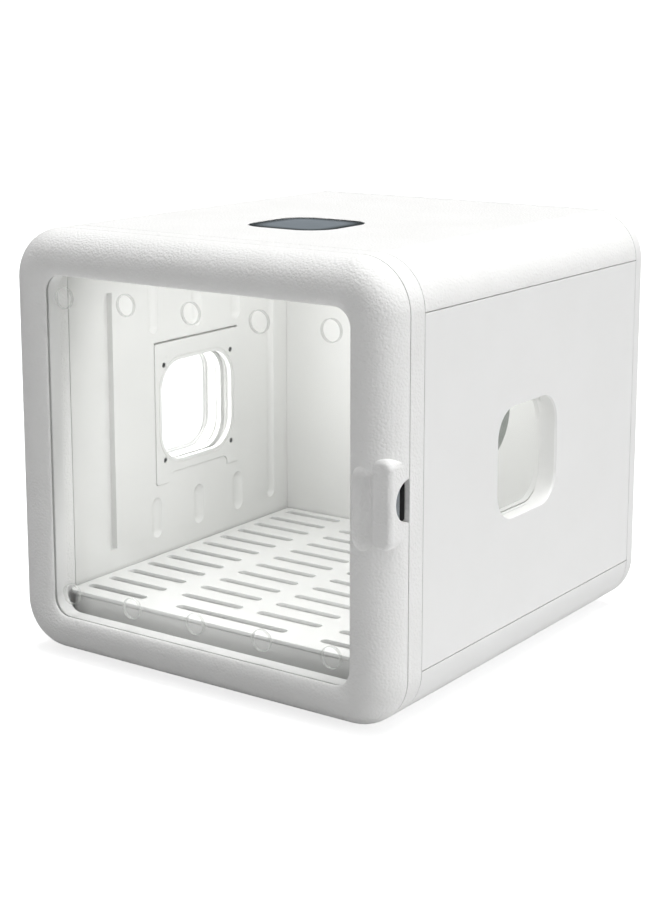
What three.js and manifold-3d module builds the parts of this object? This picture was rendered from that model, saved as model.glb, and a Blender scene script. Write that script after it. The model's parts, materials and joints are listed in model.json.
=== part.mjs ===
// Drying cabin for a cat or a small dog: a rounded white case with a hinged clear door at the front (-Y),
// a slatted floor over a drip tray, a window in each side wall, and a fan, heater and filter at the back.
// Millimetres, +Z up, +X to the right of the door. The origin is on the ground under the middle of the case.

import * as THREE from "three";
import { mergeVertices } from "three/addons/utils/BufferGeometryUtils.js";
import Module from "manifold-3d";

// Driving dimensions.
const WIDTH = 454;
const DEPTH = 490;
const HEIGHT = 436;
const FOOT_HEIGHT = 6;
const CORNER = 50; // rounding of the case's four long edges
const SKIN = 3; // wall of every moulded shell
const GAP = 0.3; // between two parts that touch
const SEAM = 0.7; // visible joint between two outer panels
const DOOR_DEPTH = 30.4;
const DOOR_SEAM = 1.2;
const RING_DEPTH = 22.2;
const REAR_DEPTH = 18.6;
const SHELL_EDGE = 50; // height of the bottom and top shells' side edges from the case's underside and top
const CABIN_HALF = 197; // half the width between the cabin's side walls
const CABIN_FLOOR = 28; // underside of the cabin, where the drip tray lies
const CABIN_TOP = 402;
const CABIN_BACK = 178.3;
const MOUTH_CORNER = 1;
const LIP_RELIEF = 9;
const DOOR_OPENING = { x: 181, z0: 45, z1: 392, corner: 18 };
const WINDOW_HOLE = { y0: -59, y1: 57.5, z0: 163.5, z1: 274, corner: 30 };
const HINGE = { x: -WIDTH / 2 - 1, heights: [108, 334], length: 40, radius: 3.2, pin: 1.5 };
const HINGE_LEAF = { end: -205, thickness: 2.2, pocket: 2.6, clearance: 1 };
const MAGNET = { x0: 209, x1: 217, z0: 290, z1: 330, depth: 3.6 };
const OUTLET = { z: 222, radius: 105 };
const PANEL = { y: -53.6, side: 100, corner: 24 };

const FRONT = -DEPTH / 2;
const BACK = DEPTH / 2;
const SIDE = WIDTH / 2;
const DOOR_REAR = FRONT + DOOR_DEPTH;
const RING_FRONT = DOOR_REAR + DOOR_SEAM;
const RING_REAR = RING_FRONT + RING_DEPTH;
const SHELL_FRONT = RING_REAR + SEAM;
const REAR_FRONT = BACK - REAR_DEPTH;
const SHELL_REAR = REAR_FRONT - SEAM;
const BODY_BOTTOM = FOOT_HEIGHT;

const wasm = await Module();
wasm.setup();

// Materials.
const finish = (color, roughness, metalness = 0) =>
  new THREE.MeshStandardMaterial({ color, roughness, metalness });
const grainedWhite = finish(0xeeeeec, 0.6);
const smoothWhite = finish(0xf1f1ef, 0.5);
const linerWhite = finish(0xdfe2dd, 0.45);
const trayWhite = finish(0xe4e6e2, 0.4);
const outletGrey = finish(0xa9ada9, 0.5);
const darkGlass = finish(0x3f4548, 0.15);
const darkPad = finish(0x43484a, 0.8);
const rubber = finish(0x2a2a2a, 0.9);
const steel = finish(0xb8babb, 0.35, 1);
const aluminium = finish(0xc4c6c8, 0.4, 1);
const blackPlastic = finish(0x202224, 0.5);
const boardGreen = finish(0x1f5b3a, 0.5);
const filterGrey = finish(0x8d9290, 0.95);
const acrylic = new THREE.MeshStandardMaterial({
  color: 0xe8efec,
  roughness: 0.08,
  transparent: true,
  opacity: 0.3,
});

// Outlines.
function roundedRect(x0, x1, y0, y1, corner, Kind = THREE.Shape) {
  const outline = new Kind();
  outline.absarc(x1 - corner, y0 + corner, corner, -Math.PI / 2, 0);
  outline.absarc(x1 - corner, y1 - corner, corner, 0, Math.PI / 2);
  outline.absarc(x0 + corner, y1 - corner, corner, Math.PI / 2, Math.PI);
  outline.absarc(x0 + corner, y0 + corner, corner, Math.PI, (Math.PI * 3) / 2);
  outline.closePath();
  return outline;
}

function caseOutline(inset) {
  return roundedRect(
    -SIDE + inset,
    SIDE - inset,
    BODY_BOTTOM + inset,
    HEIGHT - inset,
    CORNER - inset,
  );
}

// A slot with round ends around a straight line between two points.
function slotOutline(x0, y0, x1, y1, radius) {
  const along = Math.atan2(y1 - y0, x1 - x0);
  const outline = new THREE.Shape();
  outline.absarc(x1, y1, radius, along - Math.PI / 2, along + Math.PI / 2);
  outline.absarc(x0, y0, radius, along + Math.PI / 2, along + (Math.PI * 3) / 2);
  outline.closePath();
  return outline;
}

// Plates: an outline given thickness along one axis.
const turnForward = new THREE.Matrix4().makeRotationX(Math.PI / 2);
const turnSideways = new THREE.Matrix4().makeBasis(
  new THREE.Vector3(0, 1, 0),
  new THREE.Vector3(0, 0, 1),
  new THREE.Vector3(1, 0, 0),
);

function extruded(outline, depth, segments, extra = {}) {
  return new THREE.ExtrudeGeometry(outline, {
    depth,
    curveSegments: segments,
    bevelEnabled: false,
    ...extra,
  });
}

// The outline is in X and Z, and the plate fills y0 to y1.
function plateAlongY(outline, y0, y1, segments = 3) {
  return extruded(outline, y1 - y0, segments).applyMatrix4(turnForward).translate(0, y1, 0);
}

// The outline is in Y and Z, and the plate fills x0 to x1.
function plateAlongX(outline, x0, x1, segments = 3) {
  return extruded(outline, x1 - x0, segments).applyMatrix4(turnSideways).translate(x0, 0, 0);
}

// The outline is in X and Y, and the plate fills z0 to z1.
function plateAlongZ(outline, z0, z1, segments = 3) {
  return extruded(outline, z1 - z0, segments).translate(0, 0, z0);
}

// As plateAlongY, with the front edge (lowest y) rounded by a quarter circle of the given radius.
function roundedPlateAlongY(outline, y0, y1, radius, segments = 3, steps = 4) {
  const whole = extruded(outline, 2 * (y1 - y0 - radius), segments, {
    bevelEnabled: true,
    bevelThickness: radius,
    bevelSize: radius,
    bevelOffset: -radius,
    bevelSegments: steps,
  });
  const turned = whole.applyMatrix4(turnForward).translate(0, y0 + radius + 2 * (y1 - y0 - radius), 0);
  return geometryOf(solid(turned).subtract(solid(block(-600, 600, y1, y1 + 600, -600, 900))));
}

function block(x0, x1, y0, y1, z0, z1) {
  return new THREE.BoxGeometry(x1 - x0, y1 - y0, z1 - z0).translate(
    (x0 + x1) / 2,
    (y0 + y1) / 2,
    (z0 + z1) / 2,
  );
}

// A round bar along Y or Z between two heights on its axis.
function barAlongY(radius, y0, y1, x = 0, z = 0, sides = 20) {
  return new THREE.CylinderGeometry(radius, radius, y1 - y0, sides).translate(x, (y0 + y1) / 2, z);
}

function barAlongZ(radius, z0, z1, x = 0, y = 0, sides = 16) {
  return new THREE.CylinderGeometry(radius, radius, z1 - z0, sides)
    .rotateX(Math.PI / 2)
    .translate(x, y, (z0 + z1) / 2);
}

function barAlongX(radius, x0, x1, y = 0, z = 0, sides = 10) {
  return new THREE.CylinderGeometry(radius, radius, x1 - x0, sides)
    .rotateZ(Math.PI / 2)
    .translate((x0 + x1) / 2, y, z);
}

// Joining and cutting.
function solid(geometry) {
  const bare = geometry.clone();
  bare.deleteAttribute("normal");
  bare.deleteAttribute("uv");
  const merged = mergeVertices(bare, 1e-4);
  return new wasm.Manifold(
    new wasm.Mesh({
      numProp: 3,
      vertProperties: new Float32Array(merged.attributes.position.array),
      triVerts: new Uint32Array(merged.index.array),
    }),
  );
}

function geometryOf(made) {
  const { numProp, vertProperties, triVerts } = made.getMesh();
  const positions = new Float32Array((vertProperties.length / numProp) * 3);
  for (let i = 0; i < positions.length / 3; i++)
    positions.set(vertProperties.subarray(i * numProp, i * numProp + 3), i * 3);
  const geometry = new THREE.BufferGeometry();
  geometry.setAttribute("position", new THREE.BufferAttribute(positions, 3));
  geometry.setIndex(new THREE.BufferAttribute(new Uint32Array(triVerts), 1));
  return geometry;
}

function joined(first, ...others) {
  return geometryOf(others.reduce((all, next) => all.add(solid(next)), solid(first)));
}

function cut(from, ...tools) {
  return geometryOf(tools.reduce((left, tool) => left.subtract(solid(tool)), solid(from)));
}

function mirroredX(geometry) {
  return geometryOf(solid(geometry).mirror([1, 0, 0]));
}

const root = new THREE.Group();

// Adds a named part to a group. The geometry is in the case's frame, and origin is where the group stands.
function add(group, name, geometry, material) {
  const local = geometry.clone().translate(-group.position.x, -group.position.y, -group.position.z);
  local.computeVertexNormals();
  const mesh = new THREE.Mesh(local, material);
  mesh.name = name;
  group.add(mesh);
}

function movingGroup(x, y, z) {
  const group = new THREE.Group();
  group.position.set(x, y, z);
  root.add(group);
  return group;
}

// Pockets that the door and the case share.
const HINGE_POCKET_HALF = HINGE.length / 2 + HINGE_LEAF.clearance;

function hingeNotches() {
  return HINGE.heights.map((height) =>
    barAlongZ(
      HINGE.radius + 2 * GAP,
      height - HINGE_POCKET_HALF,
      height + HINGE_POCKET_HALF,
      HINGE.x,
      DOOR_REAR + DOOR_SEAM / 2,
    ),
  );
}

function leafPockets(y0, y1) {
  return HINGE.heights.map((height) =>
    block(
      -SIDE - 1,
      HINGE_LEAF.end + 0.5,
      y0,
      y1,
      height - HINGE_POCKET_HALF,
      height + HINGE_POCKET_HALF,
    ),
  );
}

function magnetPocket(y0, y1) {
  return block(MAGNET.x0 - GAP, MAGNET.x1 + GAP, y0, y1, MAGNET.z0 - GAP, MAGNET.z1 + GAP);
}

// Case.

// Reliefs that leave the lip behind the ring's face as four straight strips round the cabin's mouth.
function lipReliefs() {
  const reliefs = [];
  for (const side of [-1, 1]) {
    const x = [CABIN_HALF - LIP_RELIEF, CABIN_HALF + SKIN + 1].map((reach) => side * reach);
    for (const [z0, z1] of [
      [CABIN_FLOOR - SKIN - 1, CABIN_FLOOR + LIP_RELIEF],
      [CABIN_TOP - LIP_RELIEF, CABIN_TOP + SKIN + 1],
    ]) {
      reliefs.push(block(Math.min(...x), Math.max(...x), RING_FRONT + 5, RING_REAR + 1, z0, z1));
    }
  }
  return reliefs;
}

function frontRing() {
  const mouth = roundedRect(-CABIN_HALF, CABIN_HALF, CABIN_FLOOR, CABIN_TOP, MOUTH_CORNER, THREE.Path);
  const face = caseOutline(0);
  face.holes.push(mouth);
  const hollow = caseOutline(SKIN);
  hollow.holes.push(
    roundedRect(
      -CABIN_HALF - SKIN,
      CABIN_HALF + SKIN,
      CABIN_FLOOR - SKIN,
      CABIN_TOP + SKIN,
      MOUTH_CORNER + SKIN,
      THREE.Path,
    ),
  );
  return cut(
    plateAlongY(face, RING_FRONT, RING_REAR),
    plateAlongY(hollow, RING_FRONT + 5, RING_REAR + 1),
    magnetPocket(RING_FRONT - 1, RING_FRONT + 2),
    ...leafPockets(RING_FRONT - 1, RING_FRONT + HINGE_LEAF.pocket),
    ...hingeNotches(),
    ...lipReliefs(),
  );
}

// The skin of the case between two heights.
function shellBetween(z0, z1) {
  const wall = caseOutline(0);
  const inside = caseOutline(SKIN);
  return geometryOf(
    solid(plateAlongY(wall, SHELL_FRONT, SHELL_REAR))
      .subtract(solid(plateAlongY(inside, SHELL_FRONT - 1, SHELL_REAR + 1)))
      .intersect(solid(block(-SIDE - 1, SIDE + 1, SHELL_FRONT - 2, SHELL_REAR + 2, z0, z1))),
  );
}

function topShell() {
  const half = PANEL.side / 2 + 0.7;
  const opening = roundedRect(-half, half, PANEL.y - half, PANEL.y + half, PANEL.corner + 0.7);
  return cut(
    shellBetween(HEIGHT - SHELL_EDGE, HEIGHT + 1),
    plateAlongZ(opening, HEIGHT - 6, HEIGHT + 1),
  );
}

function sidePanel(side) {
  const z0 = BODY_BOTTOM + SHELL_EDGE + SEAM;
  const z1 = HEIGHT - SHELL_EDGE - SEAM;
  const outline = roundedRect(SHELL_FRONT, SHELL_REAR, z0, z1, 1);
  const { y0, y1, z0: low, z1: high, corner } = WINDOW_HOLE;
  outline.holes.push(roundedRect(y0, y1, low, high, corner, THREE.Path));
  const right = plateAlongX(outline, SIDE - SKIN, SIDE);
  return side > 0 ? right : mirroredX(right);
}

function rearCover() {
  const outer = caseOutline(0);
  const inner = caseOutline(SKIN);
  const shell = cut(
    roundedPlateAlongY(outer, 0, REAR_DEPTH, 8, 3, 2),
    plateAlongY(inner, SKIN, REAR_DEPTH + 1),
  );
  const turned = geometryOf(solid(shell).mirror([0, 1, 0])).translate(0, BACK, 0);
  return cut(
    turned,
    block(-88, 88, BACK - 6, BACK + 1, OUTLET.z - 88, OUTLET.z + 88),
    block(-174.5, -125.5, BACK - 6, BACK + 1, 39.5, 68.5),
    ...rearScrewPlaces().map(([x, z]) => barAlongY(2.3, BACK - 6, BACK + 1, x, z, 8)),
    ...rearScrewPlaces().map(([x, z]) => barAlongY(4.3, BACK - 1.6, BACK + 1, x, z, 12)),
  );
}

function rearScrewPlaces() {
  const x = SIDE - 32;
  return [
    [-x, BODY_BOTTOM + 32],
    [x, BODY_BOTTOM + 32],
    [-x, HEIGHT - 32],
    [x, HEIGHT - 32],
  ];
}

function screw(radius, head, shank, length) {
  return joined(
    new THREE.CylinderGeometry(radius, radius, head, 12).translate(0, -head / 2, 0),
    new THREE.CylinderGeometry(shank, shank, length, 8).translate(0, -head - length / 2 + 0.01, 0),
  );
}

function addCase() {
  add(root, "front_ring", frontRing(), grainedWhite);
  add(root, "base_shell", shellBetween(BODY_BOTTOM - 1, BODY_BOTTOM + SHELL_EDGE), smoothWhite);
  add(root, "top_shell", topShell(), grainedWhite);
  add(root, "side_panel_right", sidePanel(1), smoothWhite);
  add(root, "side_panel_left", sidePanel(-1), smoothWhite);
  add(root, "rear_cover", rearCover(), smoothWhite);
  rearScrewPlaces().forEach(([x, z], i) => {
    const made = screw(4, 1.5, 2, 10).translate(x, BACK, z);
    add(root, "rear_screw_" + (i + 1), made, steel);
  });
  for (const [name, x] of [["left", -150], ["right", 150]])
    for (const [end, y] of [["front", -160], ["rear", 190]])
      add(root, `foot_${end}_${name}`, barAlongZ(14, 0, FOOT_HEIGHT - GAP, x, y, 20), rubber);
}

// Cabin lining: grooved side walls, ceiling, back wall with the warm-air outlet, and the pan under the tray.
const LINER = 8;
const FRAME_SEAT = { y0: -60.5, y1: 83, z0: 148, z1: 293, foot: 137.5 };
const FRAME_HOLE = { y0: -51, y1: 70, z0: 160.5, z1: 271.5, corner: 33 };
const LINER_HOLE = { y0: -51, y1: 62, z0: 161, z1: 272, corner: 30 };
const SCREW_PLACES = [
  [-46, 268.8],
  [69.3, 268.8],
  [-46, 163.2],
  [69.3, 163.2],
];

function windowFrameOutline(grow) {
  const { y0, y1, z0, z1, foot } = FRAME_SEAT;
  const outline = new THREE.Shape();
  outline.moveTo(y0 - grow, foot - grow);
  outline.lineTo(y0 + 14 + grow, foot - grow);
  outline.bezierCurveTo(y0 + 22, foot, y0 + 22, z0 - grow, y0 + 34 - grow, z0 - grow);
  outline.lineTo(y1 - 34 + grow, z0 - grow);
  outline.bezierCurveTo(y1 - 22, z0 - grow, y1 - 22, foot, y1 - 14 - grow, foot - grow);
  outline.lineTo(y1 + grow, foot - grow);
  outline.lineTo(y1 + grow, z1 + grow);
  outline.lineTo(y0 - grow, z1 + grow);
  outline.closePath();
  return outline;
}

function holeOutline({ y0, y1, z0, z1, corner }, grow = 0, Kind = THREE.Shape) {
  return roundedRect(y0 - grow, y1 + grow, z0 - grow, z1 + grow, corner + grow, Kind);
}

// Pressed grooves in a side wall, each [front y, rear y, lower z, upper z].
const GROOVES = [
  [137, 152, 80, 358],
  [-70, -53, 305, 376],
  [3, 20, 303, 376],
  [72, 90, 302, 376],
  [-69, -52, 79, 124],
  [3, 20, 79, 124],
  [73, 91, 79, 124],
];
const WAVY_GROOVE = { front: -139, rear: -126, z0: 83, z1: 358, waves: 7, swing: 4 };

function wavyOutline() {
  const { front, rear, z0, z1, waves, swing } = WAVY_GROOVE;
  const steps = waves * 2;
  const outline = new THREE.Shape();
  outline.moveTo(rear, z1);
  for (let i = 0; i <= steps; i++) {
    const share = i / steps;
    const wave = -Math.cos(share * waves * Math.PI * 2) * swing;
    outline.lineTo(front - wave, z1 + (z0 - z1) * share);
  }
  outline.lineTo(rear, z0);
  outline.closePath();
  return outline;
}

function rightLiner() {
  const inner = CABIN_HALF;
  const outer = CABIN_HALF + LINER;
  const wall = block(inner, outer, SHELL_FRONT, CABIN_BACK - GAP, CABIN_FLOOR, CABIN_TOP - GAP);
  const boss = block(outer - 1, outer + 4, -72, 94, 130, 300);
  const sleeveOutline = holeOutline(WINDOW_HOLE, 6);
  const sleeve = plateAlongX(sleeveOutline, outer, SIDE - SKIN - GAP);
  const grooves = GROOVES.map(([y0, y1, z0, z1]) => {
    const radius = (y1 - y0) / 2;
    const middle = (y0 + y1) / 2;
    const outline = slotOutline(middle, z0 + radius, middle, z1 - radius, radius);
    return plateAlongX(outline, inner - 1, inner + 5, 1);
  });
  return cut(
    joined(wall, boss, sleeve),
    plateAlongX(windowFrameOutline(0.6), inner - 1, inner + 5),
    plateAlongX(holeOutline(LINER_HOLE, 5), inner - 1, inner + 8),
    plateAlongX(holeOutline(LINER_HOLE), inner - 1, inner + 14),
    plateAlongX(holeOutline(WINDOW_HOLE, 3), inner + 12, SIDE + 1),
    plateAlongX(wavyOutline(), inner - 1, inner + 5),
    ...SCREW_PLACES.map(([y, z]) => barAlongX(1.3, inner, outer + 3, y, z, 8)),
    ...grooves,
  );
}

function rightWindowFrame() {
  const outline = windowFrameOutline(0);
  outline.holes.push(holeOutline(FRAME_HOLE, 0, THREE.Path));
  return cut(
    plateAlongX(outline, CABIN_HALF - 1.2, CABIN_HALF + 4.7),
    ...SCREW_PLACES.map(([y, z]) => barAlongX(1.3, CABIN_HALF - 2, CABIN_HALF + 6, y, z, 8)),
    ...SCREW_PLACES.map(([y, z]) => barAlongX(3, CABIN_HALF - 2, CABIN_HALF + 1, y, z, 10)),
  );
}

function rightWindowPane() {
  return plateAlongX(holeOutline(LINER_HOLE, 4.6), CABIN_HALF + 5.2, CABIN_HALF + 7.7);
}

function rightWindowScrew(y, z) {
  return joined(
    barAlongX(2.7, CABIN_HALF - 0.8, CABIN_HALF + 0.7, y, z, 10),
    barAlongX(1, CABIN_HALF + 0.6, CABIN_HALF + 9, y, z, 6),
  );
}

function backLiner() {
  const plate = block(
    -CABIN_HALF - LINER,
    CABIN_HALF + LINER,
    CABIN_BACK,
    CABIN_BACK + SKIN,
    CABIN_FLOOR,
    CABIN_TOP,
  );
  return cut(plate, barAlongY(OUTLET.radius, CABIN_BACK - 1, CABIN_BACK + 9, 0, OUTLET.z, 32));
}

function outletGrille() {
  const y0 = CABIN_BACK + SKIN + GAP;
  const slots = [];
  for (let i = 0; i < 16; i++) {
    const slot = block(34, 84, y0 - 1, y0 + SKIN + 1, -2.6, 2.6);
    slots.push(slot.rotateY((i / 16) * Math.PI * 2).translate(0, 0, OUTLET.z));
  }
  return cut(barAlongY(OUTLET.radius + 7, y0, y0 + SKIN, 0, OUTLET.z, 32), ...slots);
}

function addCabin() {
  const mirrored = [["right", (g) => g], ["left", mirroredX]];
  for (const [name, place] of mirrored) {
    add(root, "liner_" + name, place(rightLiner()), linerWhite);
    add(root, "window_frame_" + name, place(rightWindowFrame()), linerWhite);
    add(root, "window_pane_" + name, place(rightWindowPane()), acrylic);
    SCREW_PLACES.forEach(([y, z], i) =>
      add(root, `window_screw_${name}_${i + 1}`, place(rightWindowScrew(y, z)), steel),
    );
  }
  const edge = CABIN_HALF + LINER;
  const ceiling = block(-edge, edge, SHELL_FRONT, CABIN_BACK + SKIN, CABIN_TOP + GAP, CABIN_TOP + 3.3);
  add(root, "liner_ceiling", ceiling, linerWhite);
  const pan = block(-edge, edge, SHELL_FRONT, CABIN_BACK + SKIN, CABIN_FLOOR - 3.3, CABIN_FLOOR - GAP);
  add(root, "floor_pan", pan, linerWhite);
  add(root, "liner_back", backLiner(), linerWhite);
  add(root, "outlet_grille", outletGrille(), outletGrey);
}

// Drip tray and slatted floor.
const TRAY = { half: 193, y0: -204, y1: 174, z0: 28.3, z1: 55.6, wall: 2.2, corner: 12 };
const SLAT_FLOOR = { half: 194.6, y0: -205, y1: 176, z0: 56, z1: 60, corner: 8 };
const SLOT = { columns: [-147.5, -48.5, 48.5, 147.5], length: 76.5, width: 10, pitch: 31.2, rows: 12, y: -182 };

function dripTray() {
  const { half, y0, y1, z0, z1, wall, corner } = TRAY;
  const outer = roundedRect(-half, half, y0, y1, corner);
  const inner = roundedRect(-half + wall, half - wall, y0 + wall, y1 - wall, corner - wall);
  return cut(plateAlongZ(outer, z0, z1, 2), plateAlongZ(inner, z0 + wall, z1 + 1, 2));
}

function slatFloor() {
  const { half, y0, y1, z0, z1, corner } = SLAT_FLOOR;
  const outline = roundedRect(-half, half, y0, y1, corner);
  const radius = SLOT.width / 2;
  const opening = (x0, x1, y) => {
    const slot = new THREE.Path();
    slot.moveTo(x0, y).lineTo(x0 + radius, y - radius).lineTo(x1 - radius, y - radius);
    slot.lineTo(x1, y).lineTo(x1 - radius, y + radius).lineTo(x0 + radius, y + radius);
    slot.closePath();
    outline.holes.push(slot);
  };
  for (let row = 0; row < SLOT.rows; row++) {
    const y = SLOT.y + row * SLOT.pitch;
    const ends = row === 0 ? [SLOT.columns[0], SLOT.columns[3]] : SLOT.columns;
    for (const x of ends) opening(x - SLOT.length / 2, x + SLOT.length / 2, y);
    if (row === 0) opening(-68, 68, y);
  }
  return plateAlongZ(outline, z0, z1, 2);
}

function addFloor() {
  add(root, "drip_tray", dripTray(), trayWhite);
  const lifting = movingGroup(0, 0, SLAT_FLOOR.z0);
  add(lifting, "floor_grille", slatFloor(), trayWhite);
}

// Door.
const DOOR_CREST = 28; // rounding of the door's outer front edge
const PANE = { x: 186, z0: 40, z1: 397, corner: 21, y0: -238, y1: -235 };
const VENT = { x: [-159, -79.6, 0, 79.6, 159], z: [69.5, 370], radius: 10.4 };
const GRIP = { z: 222, half: 20, depth: 22, x: 206 };

function openingOutline(grow, Kind = THREE.Shape) {
  const { x, z0, z1, corner } = DOOR_OPENING;
  return roundedRect(-x - grow, x + grow, z0 - grow, z1 + grow, corner + grow, Kind);
}

// The door's opening with its front edge rounded over by the given radius.
function flaredOpening(radius) {
  const wide = caseOutline(-60);
  wide.holes.push(openingOutline(0, THREE.Path));
  return roundedPlateAlongY(wide, FRONT, DOOR_REAR + 1, radius, 3, 2);
}

// The finger recess is a half moon that opens to the side and to the rear.
function gripOutline(grow) {
  const outline = new THREE.Shape();
  outline.absellipse(
    DOOR_REAR + 1,
    GRIP.z,
    GRIP.depth + grow,
    GRIP.half + grow,
    Math.PI / 2,
    (Math.PI * 3) / 2,
  );
  outline.lineTo(DOOR_REAR + 2, GRIP.z - GRIP.half - grow);
  outline.lineTo(DOOR_REAR + 2, GRIP.z + GRIP.half + grow);
  outline.closePath();
  return outline;
}

function doorFrame() {
  const slab = solid(roundedPlateAlongY(caseOutline(0), FRONT, DOOR_REAR, DOOR_CREST));
  const bossOutline = roundedRect(204, SIDE, GRIP.z - 41, GRIP.z + 41, 9);
  const boss = roundedPlateAlongY(bossOutline, FRONT + 3, DOOR_REAR, 6, 2, 2);
  const channel = caseOutline(SKIN + 2.5);
  channel.holes.push(openingOutline(8, THREE.Path));
  const gripWall = block(GRIP.x - 3, SIDE - 3, DOOR_REAR - 26, DOOR_REAR, GRIP.z - 26, GRIP.z + 26);
  const magnetSeat = block(
    MAGNET.x0 - 5,
    SIDE - 3,
    DOOR_REAR - 8,
    DOOR_REAR,
    MAGNET.z0 - 4,
    MAGNET.z1 + 4,
  );
  const hingeSeats = HINGE.heights.map((height) =>
    block(-SIDE + 3, -202.2, DOOR_REAR - 6, DOOR_REAR, height - 24, height + 24),
  );
  const hollowed = slab
    .intersect(solid(flaredOpening(12)))
    .add(solid(boss))
    .subtract(solid(plateAlongY(channel, DOOR_REAR - 13, DOOR_REAR + 1)))
    .add(solid(gripWall))
    .add(solid(magnetSeat));
  const seated = hingeSeats.reduce((all, seat) => all.add(solid(seat)), hollowed);
  return cut(
    geometryOf(seated),
    plateAlongY(openingOutline(5.5), PANE.y0 - GAP, DOOR_REAR + 1),
    plateAlongX(gripOutline(0), GRIP.x, SIDE + 2),
    magnetPocket(DOOR_REAR - MAGNET.depth - 0.4, DOOR_REAR + 1),
    ...leafPockets(DOOR_REAR - HINGE_LEAF.pocket, DOOR_REAR + 1),
    ...hingeNotches(),
  );
}

function doorPane() {
  const outline = openingOutline(5);
  for (const x of VENT.x)
    for (const z of VENT.z)
      outline.holes.push(new THREE.Path().absarc(x, z, VENT.radius, 0, Math.PI * 2));
  return plateAlongY(outline, PANE.y0, PANE.y1, 5);
}

// The bead behind the pane keeps it in the door's rebate.
function paneBead() {
  const outline = openingOutline(5);
  outline.holes.push(openingOutline(0.6, THREE.Path));
  return plateAlongY(outline, PANE.y1 + GAP, DOOR_REAR - 5);
}

function doorSeal() {
  const outline = openingOutline(20.5);
  outline.holes.push(openingOutline(17.5, THREE.Path));
  return plateAlongY(outline, DOOR_REAR - 12.6, DOOR_REAR + DOOR_SEAM - GAP);
}

function gripPad() {
  return cut(
    plateAlongX(gripOutline(-0.4), GRIP.x + 0.4, SIDE - 4),
    block(GRIP.x - 1, SIDE, DOOR_REAR - 14, DOOR_REAR + 9, GRIP.z - 40, GRIP.z + 40),
  );
}

// Each hinge has a leaf on the case below, a leaf on the door above, and a pin through both knuckles.
function hingeLeaf(height, onDoor) {
  const y = DOOR_REAR + DOOR_SEAM / 2;
  const half = HINGE.length / 2;
  const [z0, z1] = onDoor ? [height + 0.2, height + half] : [height - half, height - 0.2];
  const y0 = onDoor ? DOOR_REAR - 0.1 - HINGE_LEAF.thickness : RING_FRONT + 0.1;
  return cut(
    joined(
      barAlongZ(HINGE.radius, z0, z1, HINGE.x, y),
      block(HINGE.x, HINGE_LEAF.end, y0, y0 + HINGE_LEAF.thickness, z0, z1),
    ),
    barAlongZ(HINGE.pin + GAP / 2, height - HINGE.length, height + HINGE.length, HINGE.x, y, 12),
  );
}

function addDoor() {
  const hingeLine = DOOR_REAR + DOOR_SEAM / 2;
  const door = movingGroup(HINGE.x, hingeLine, 0);
  add(door, "door_frame", doorFrame(), grainedWhite);
  add(door, "door_pane", doorPane(), acrylic);
  add(door, "pane_bead", paneBead(), smoothWhite);
  add(door, "door_seal", doorSeal(), rubber);
  add(door, "grip_pad", gripPad(), darkPad);
  const magnetLike = (y0, y1) => block(MAGNET.x0, MAGNET.x1, y0, y1, MAGNET.z0, MAGNET.z1);
  add(door, "door_magnet", magnetLike(DOOR_REAR - 0.1 - MAGNET.depth, DOOR_REAR - 0.1), steel);
  add(root, "strike_plate", magnetLike(RING_FRONT + 0.1, RING_FRONT + 1.7), steel);
  HINGE.heights.forEach((height, i) => {
    const which = i === 0 ? "lower" : "upper";
    add(door, `hinge_${which}_door_leaf`, hingeLeaf(height, true), steel);
    add(root, `hinge_${which}_case_leaf`, hingeLeaf(height, false), steel);
    const half = HINGE.length / 2;
    const pin = barAlongZ(HINGE.pin, height - half, height + half, HINGE.x, hingeLine, 12);
    add(root, `hinge_${which}_pin`, pin, steel);
  });
}

// Warm-air unit behind the back wall.
const FAN = { y0: 207, y1: 234, bore: 90, half: 98, tip: 86, hub: 30, blades: 9 };

function heater() {
  const frame = block(-85, 85, 187, 204, OUTLET.z - 75, OUTLET.z + 75);
  const channels = [];
  for (let i = 0; i < 8; i++) {
    const x = -70 + i * 20;
    channels.push(block(x - 8.5, x + 8.5, 180, 210, OUTLET.z - 68, OUTLET.z + 68));
  }
  return cut(frame, ...channels);
}

function fanHousing() {
  const outline = roundedRect(-FAN.half, FAN.half, OUTLET.z - FAN.half, OUTLET.z + FAN.half, 10);
  const shroud = cut(
    plateAlongY(outline, FAN.y0, FAN.y1, 3),
    barAlongY(FAN.bore, FAN.y0 - 1, FAN.y1 + 1, 0, OUTLET.z, 32),
  );
  const struts = [0, 1].map((i) =>
    block(-FAN.bore - 2, FAN.bore + 2, FAN.y1 - 4, FAN.y1, -3, 3)
      .rotateY(Math.PI / 4 + (i * Math.PI) / 2)
      .translate(0, 0, OUTLET.z),
  );
  return joined(shroud, barAlongY(24, FAN.y1 - 4, FAN.y1, 0, OUTLET.z), ...struts);
}

function impeller() {
  const cup = cut(
    barAlongY(FAN.hub, FAN.y0 + 2, FAN.y1 - 6, 0, 0, 24),
    barAlongY(FAN.hub - 3, FAN.y0 + 5, FAN.y1, 0, 0, 24),
    barAlongY(2.6, FAN.y0, FAN.y0 + 9, 0, 0, 10),
  );
  const blades = [];
  for (let i = 0; i < FAN.blades; i++) {
    const blade = new THREE.BoxGeometry(FAN.tip - FAN.hub + 2, 2.4, 24)
      .rotateX(0.65)
      .translate((FAN.tip + FAN.hub - 2) / 2, (FAN.y0 + FAN.y1) / 2 - 2, 0);
    blades.push(blade.rotateY((i / FAN.blades) * Math.PI * 2));
  }
  return joined(cup, ...blades).translate(0, 0, OUTLET.z);
}

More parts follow.
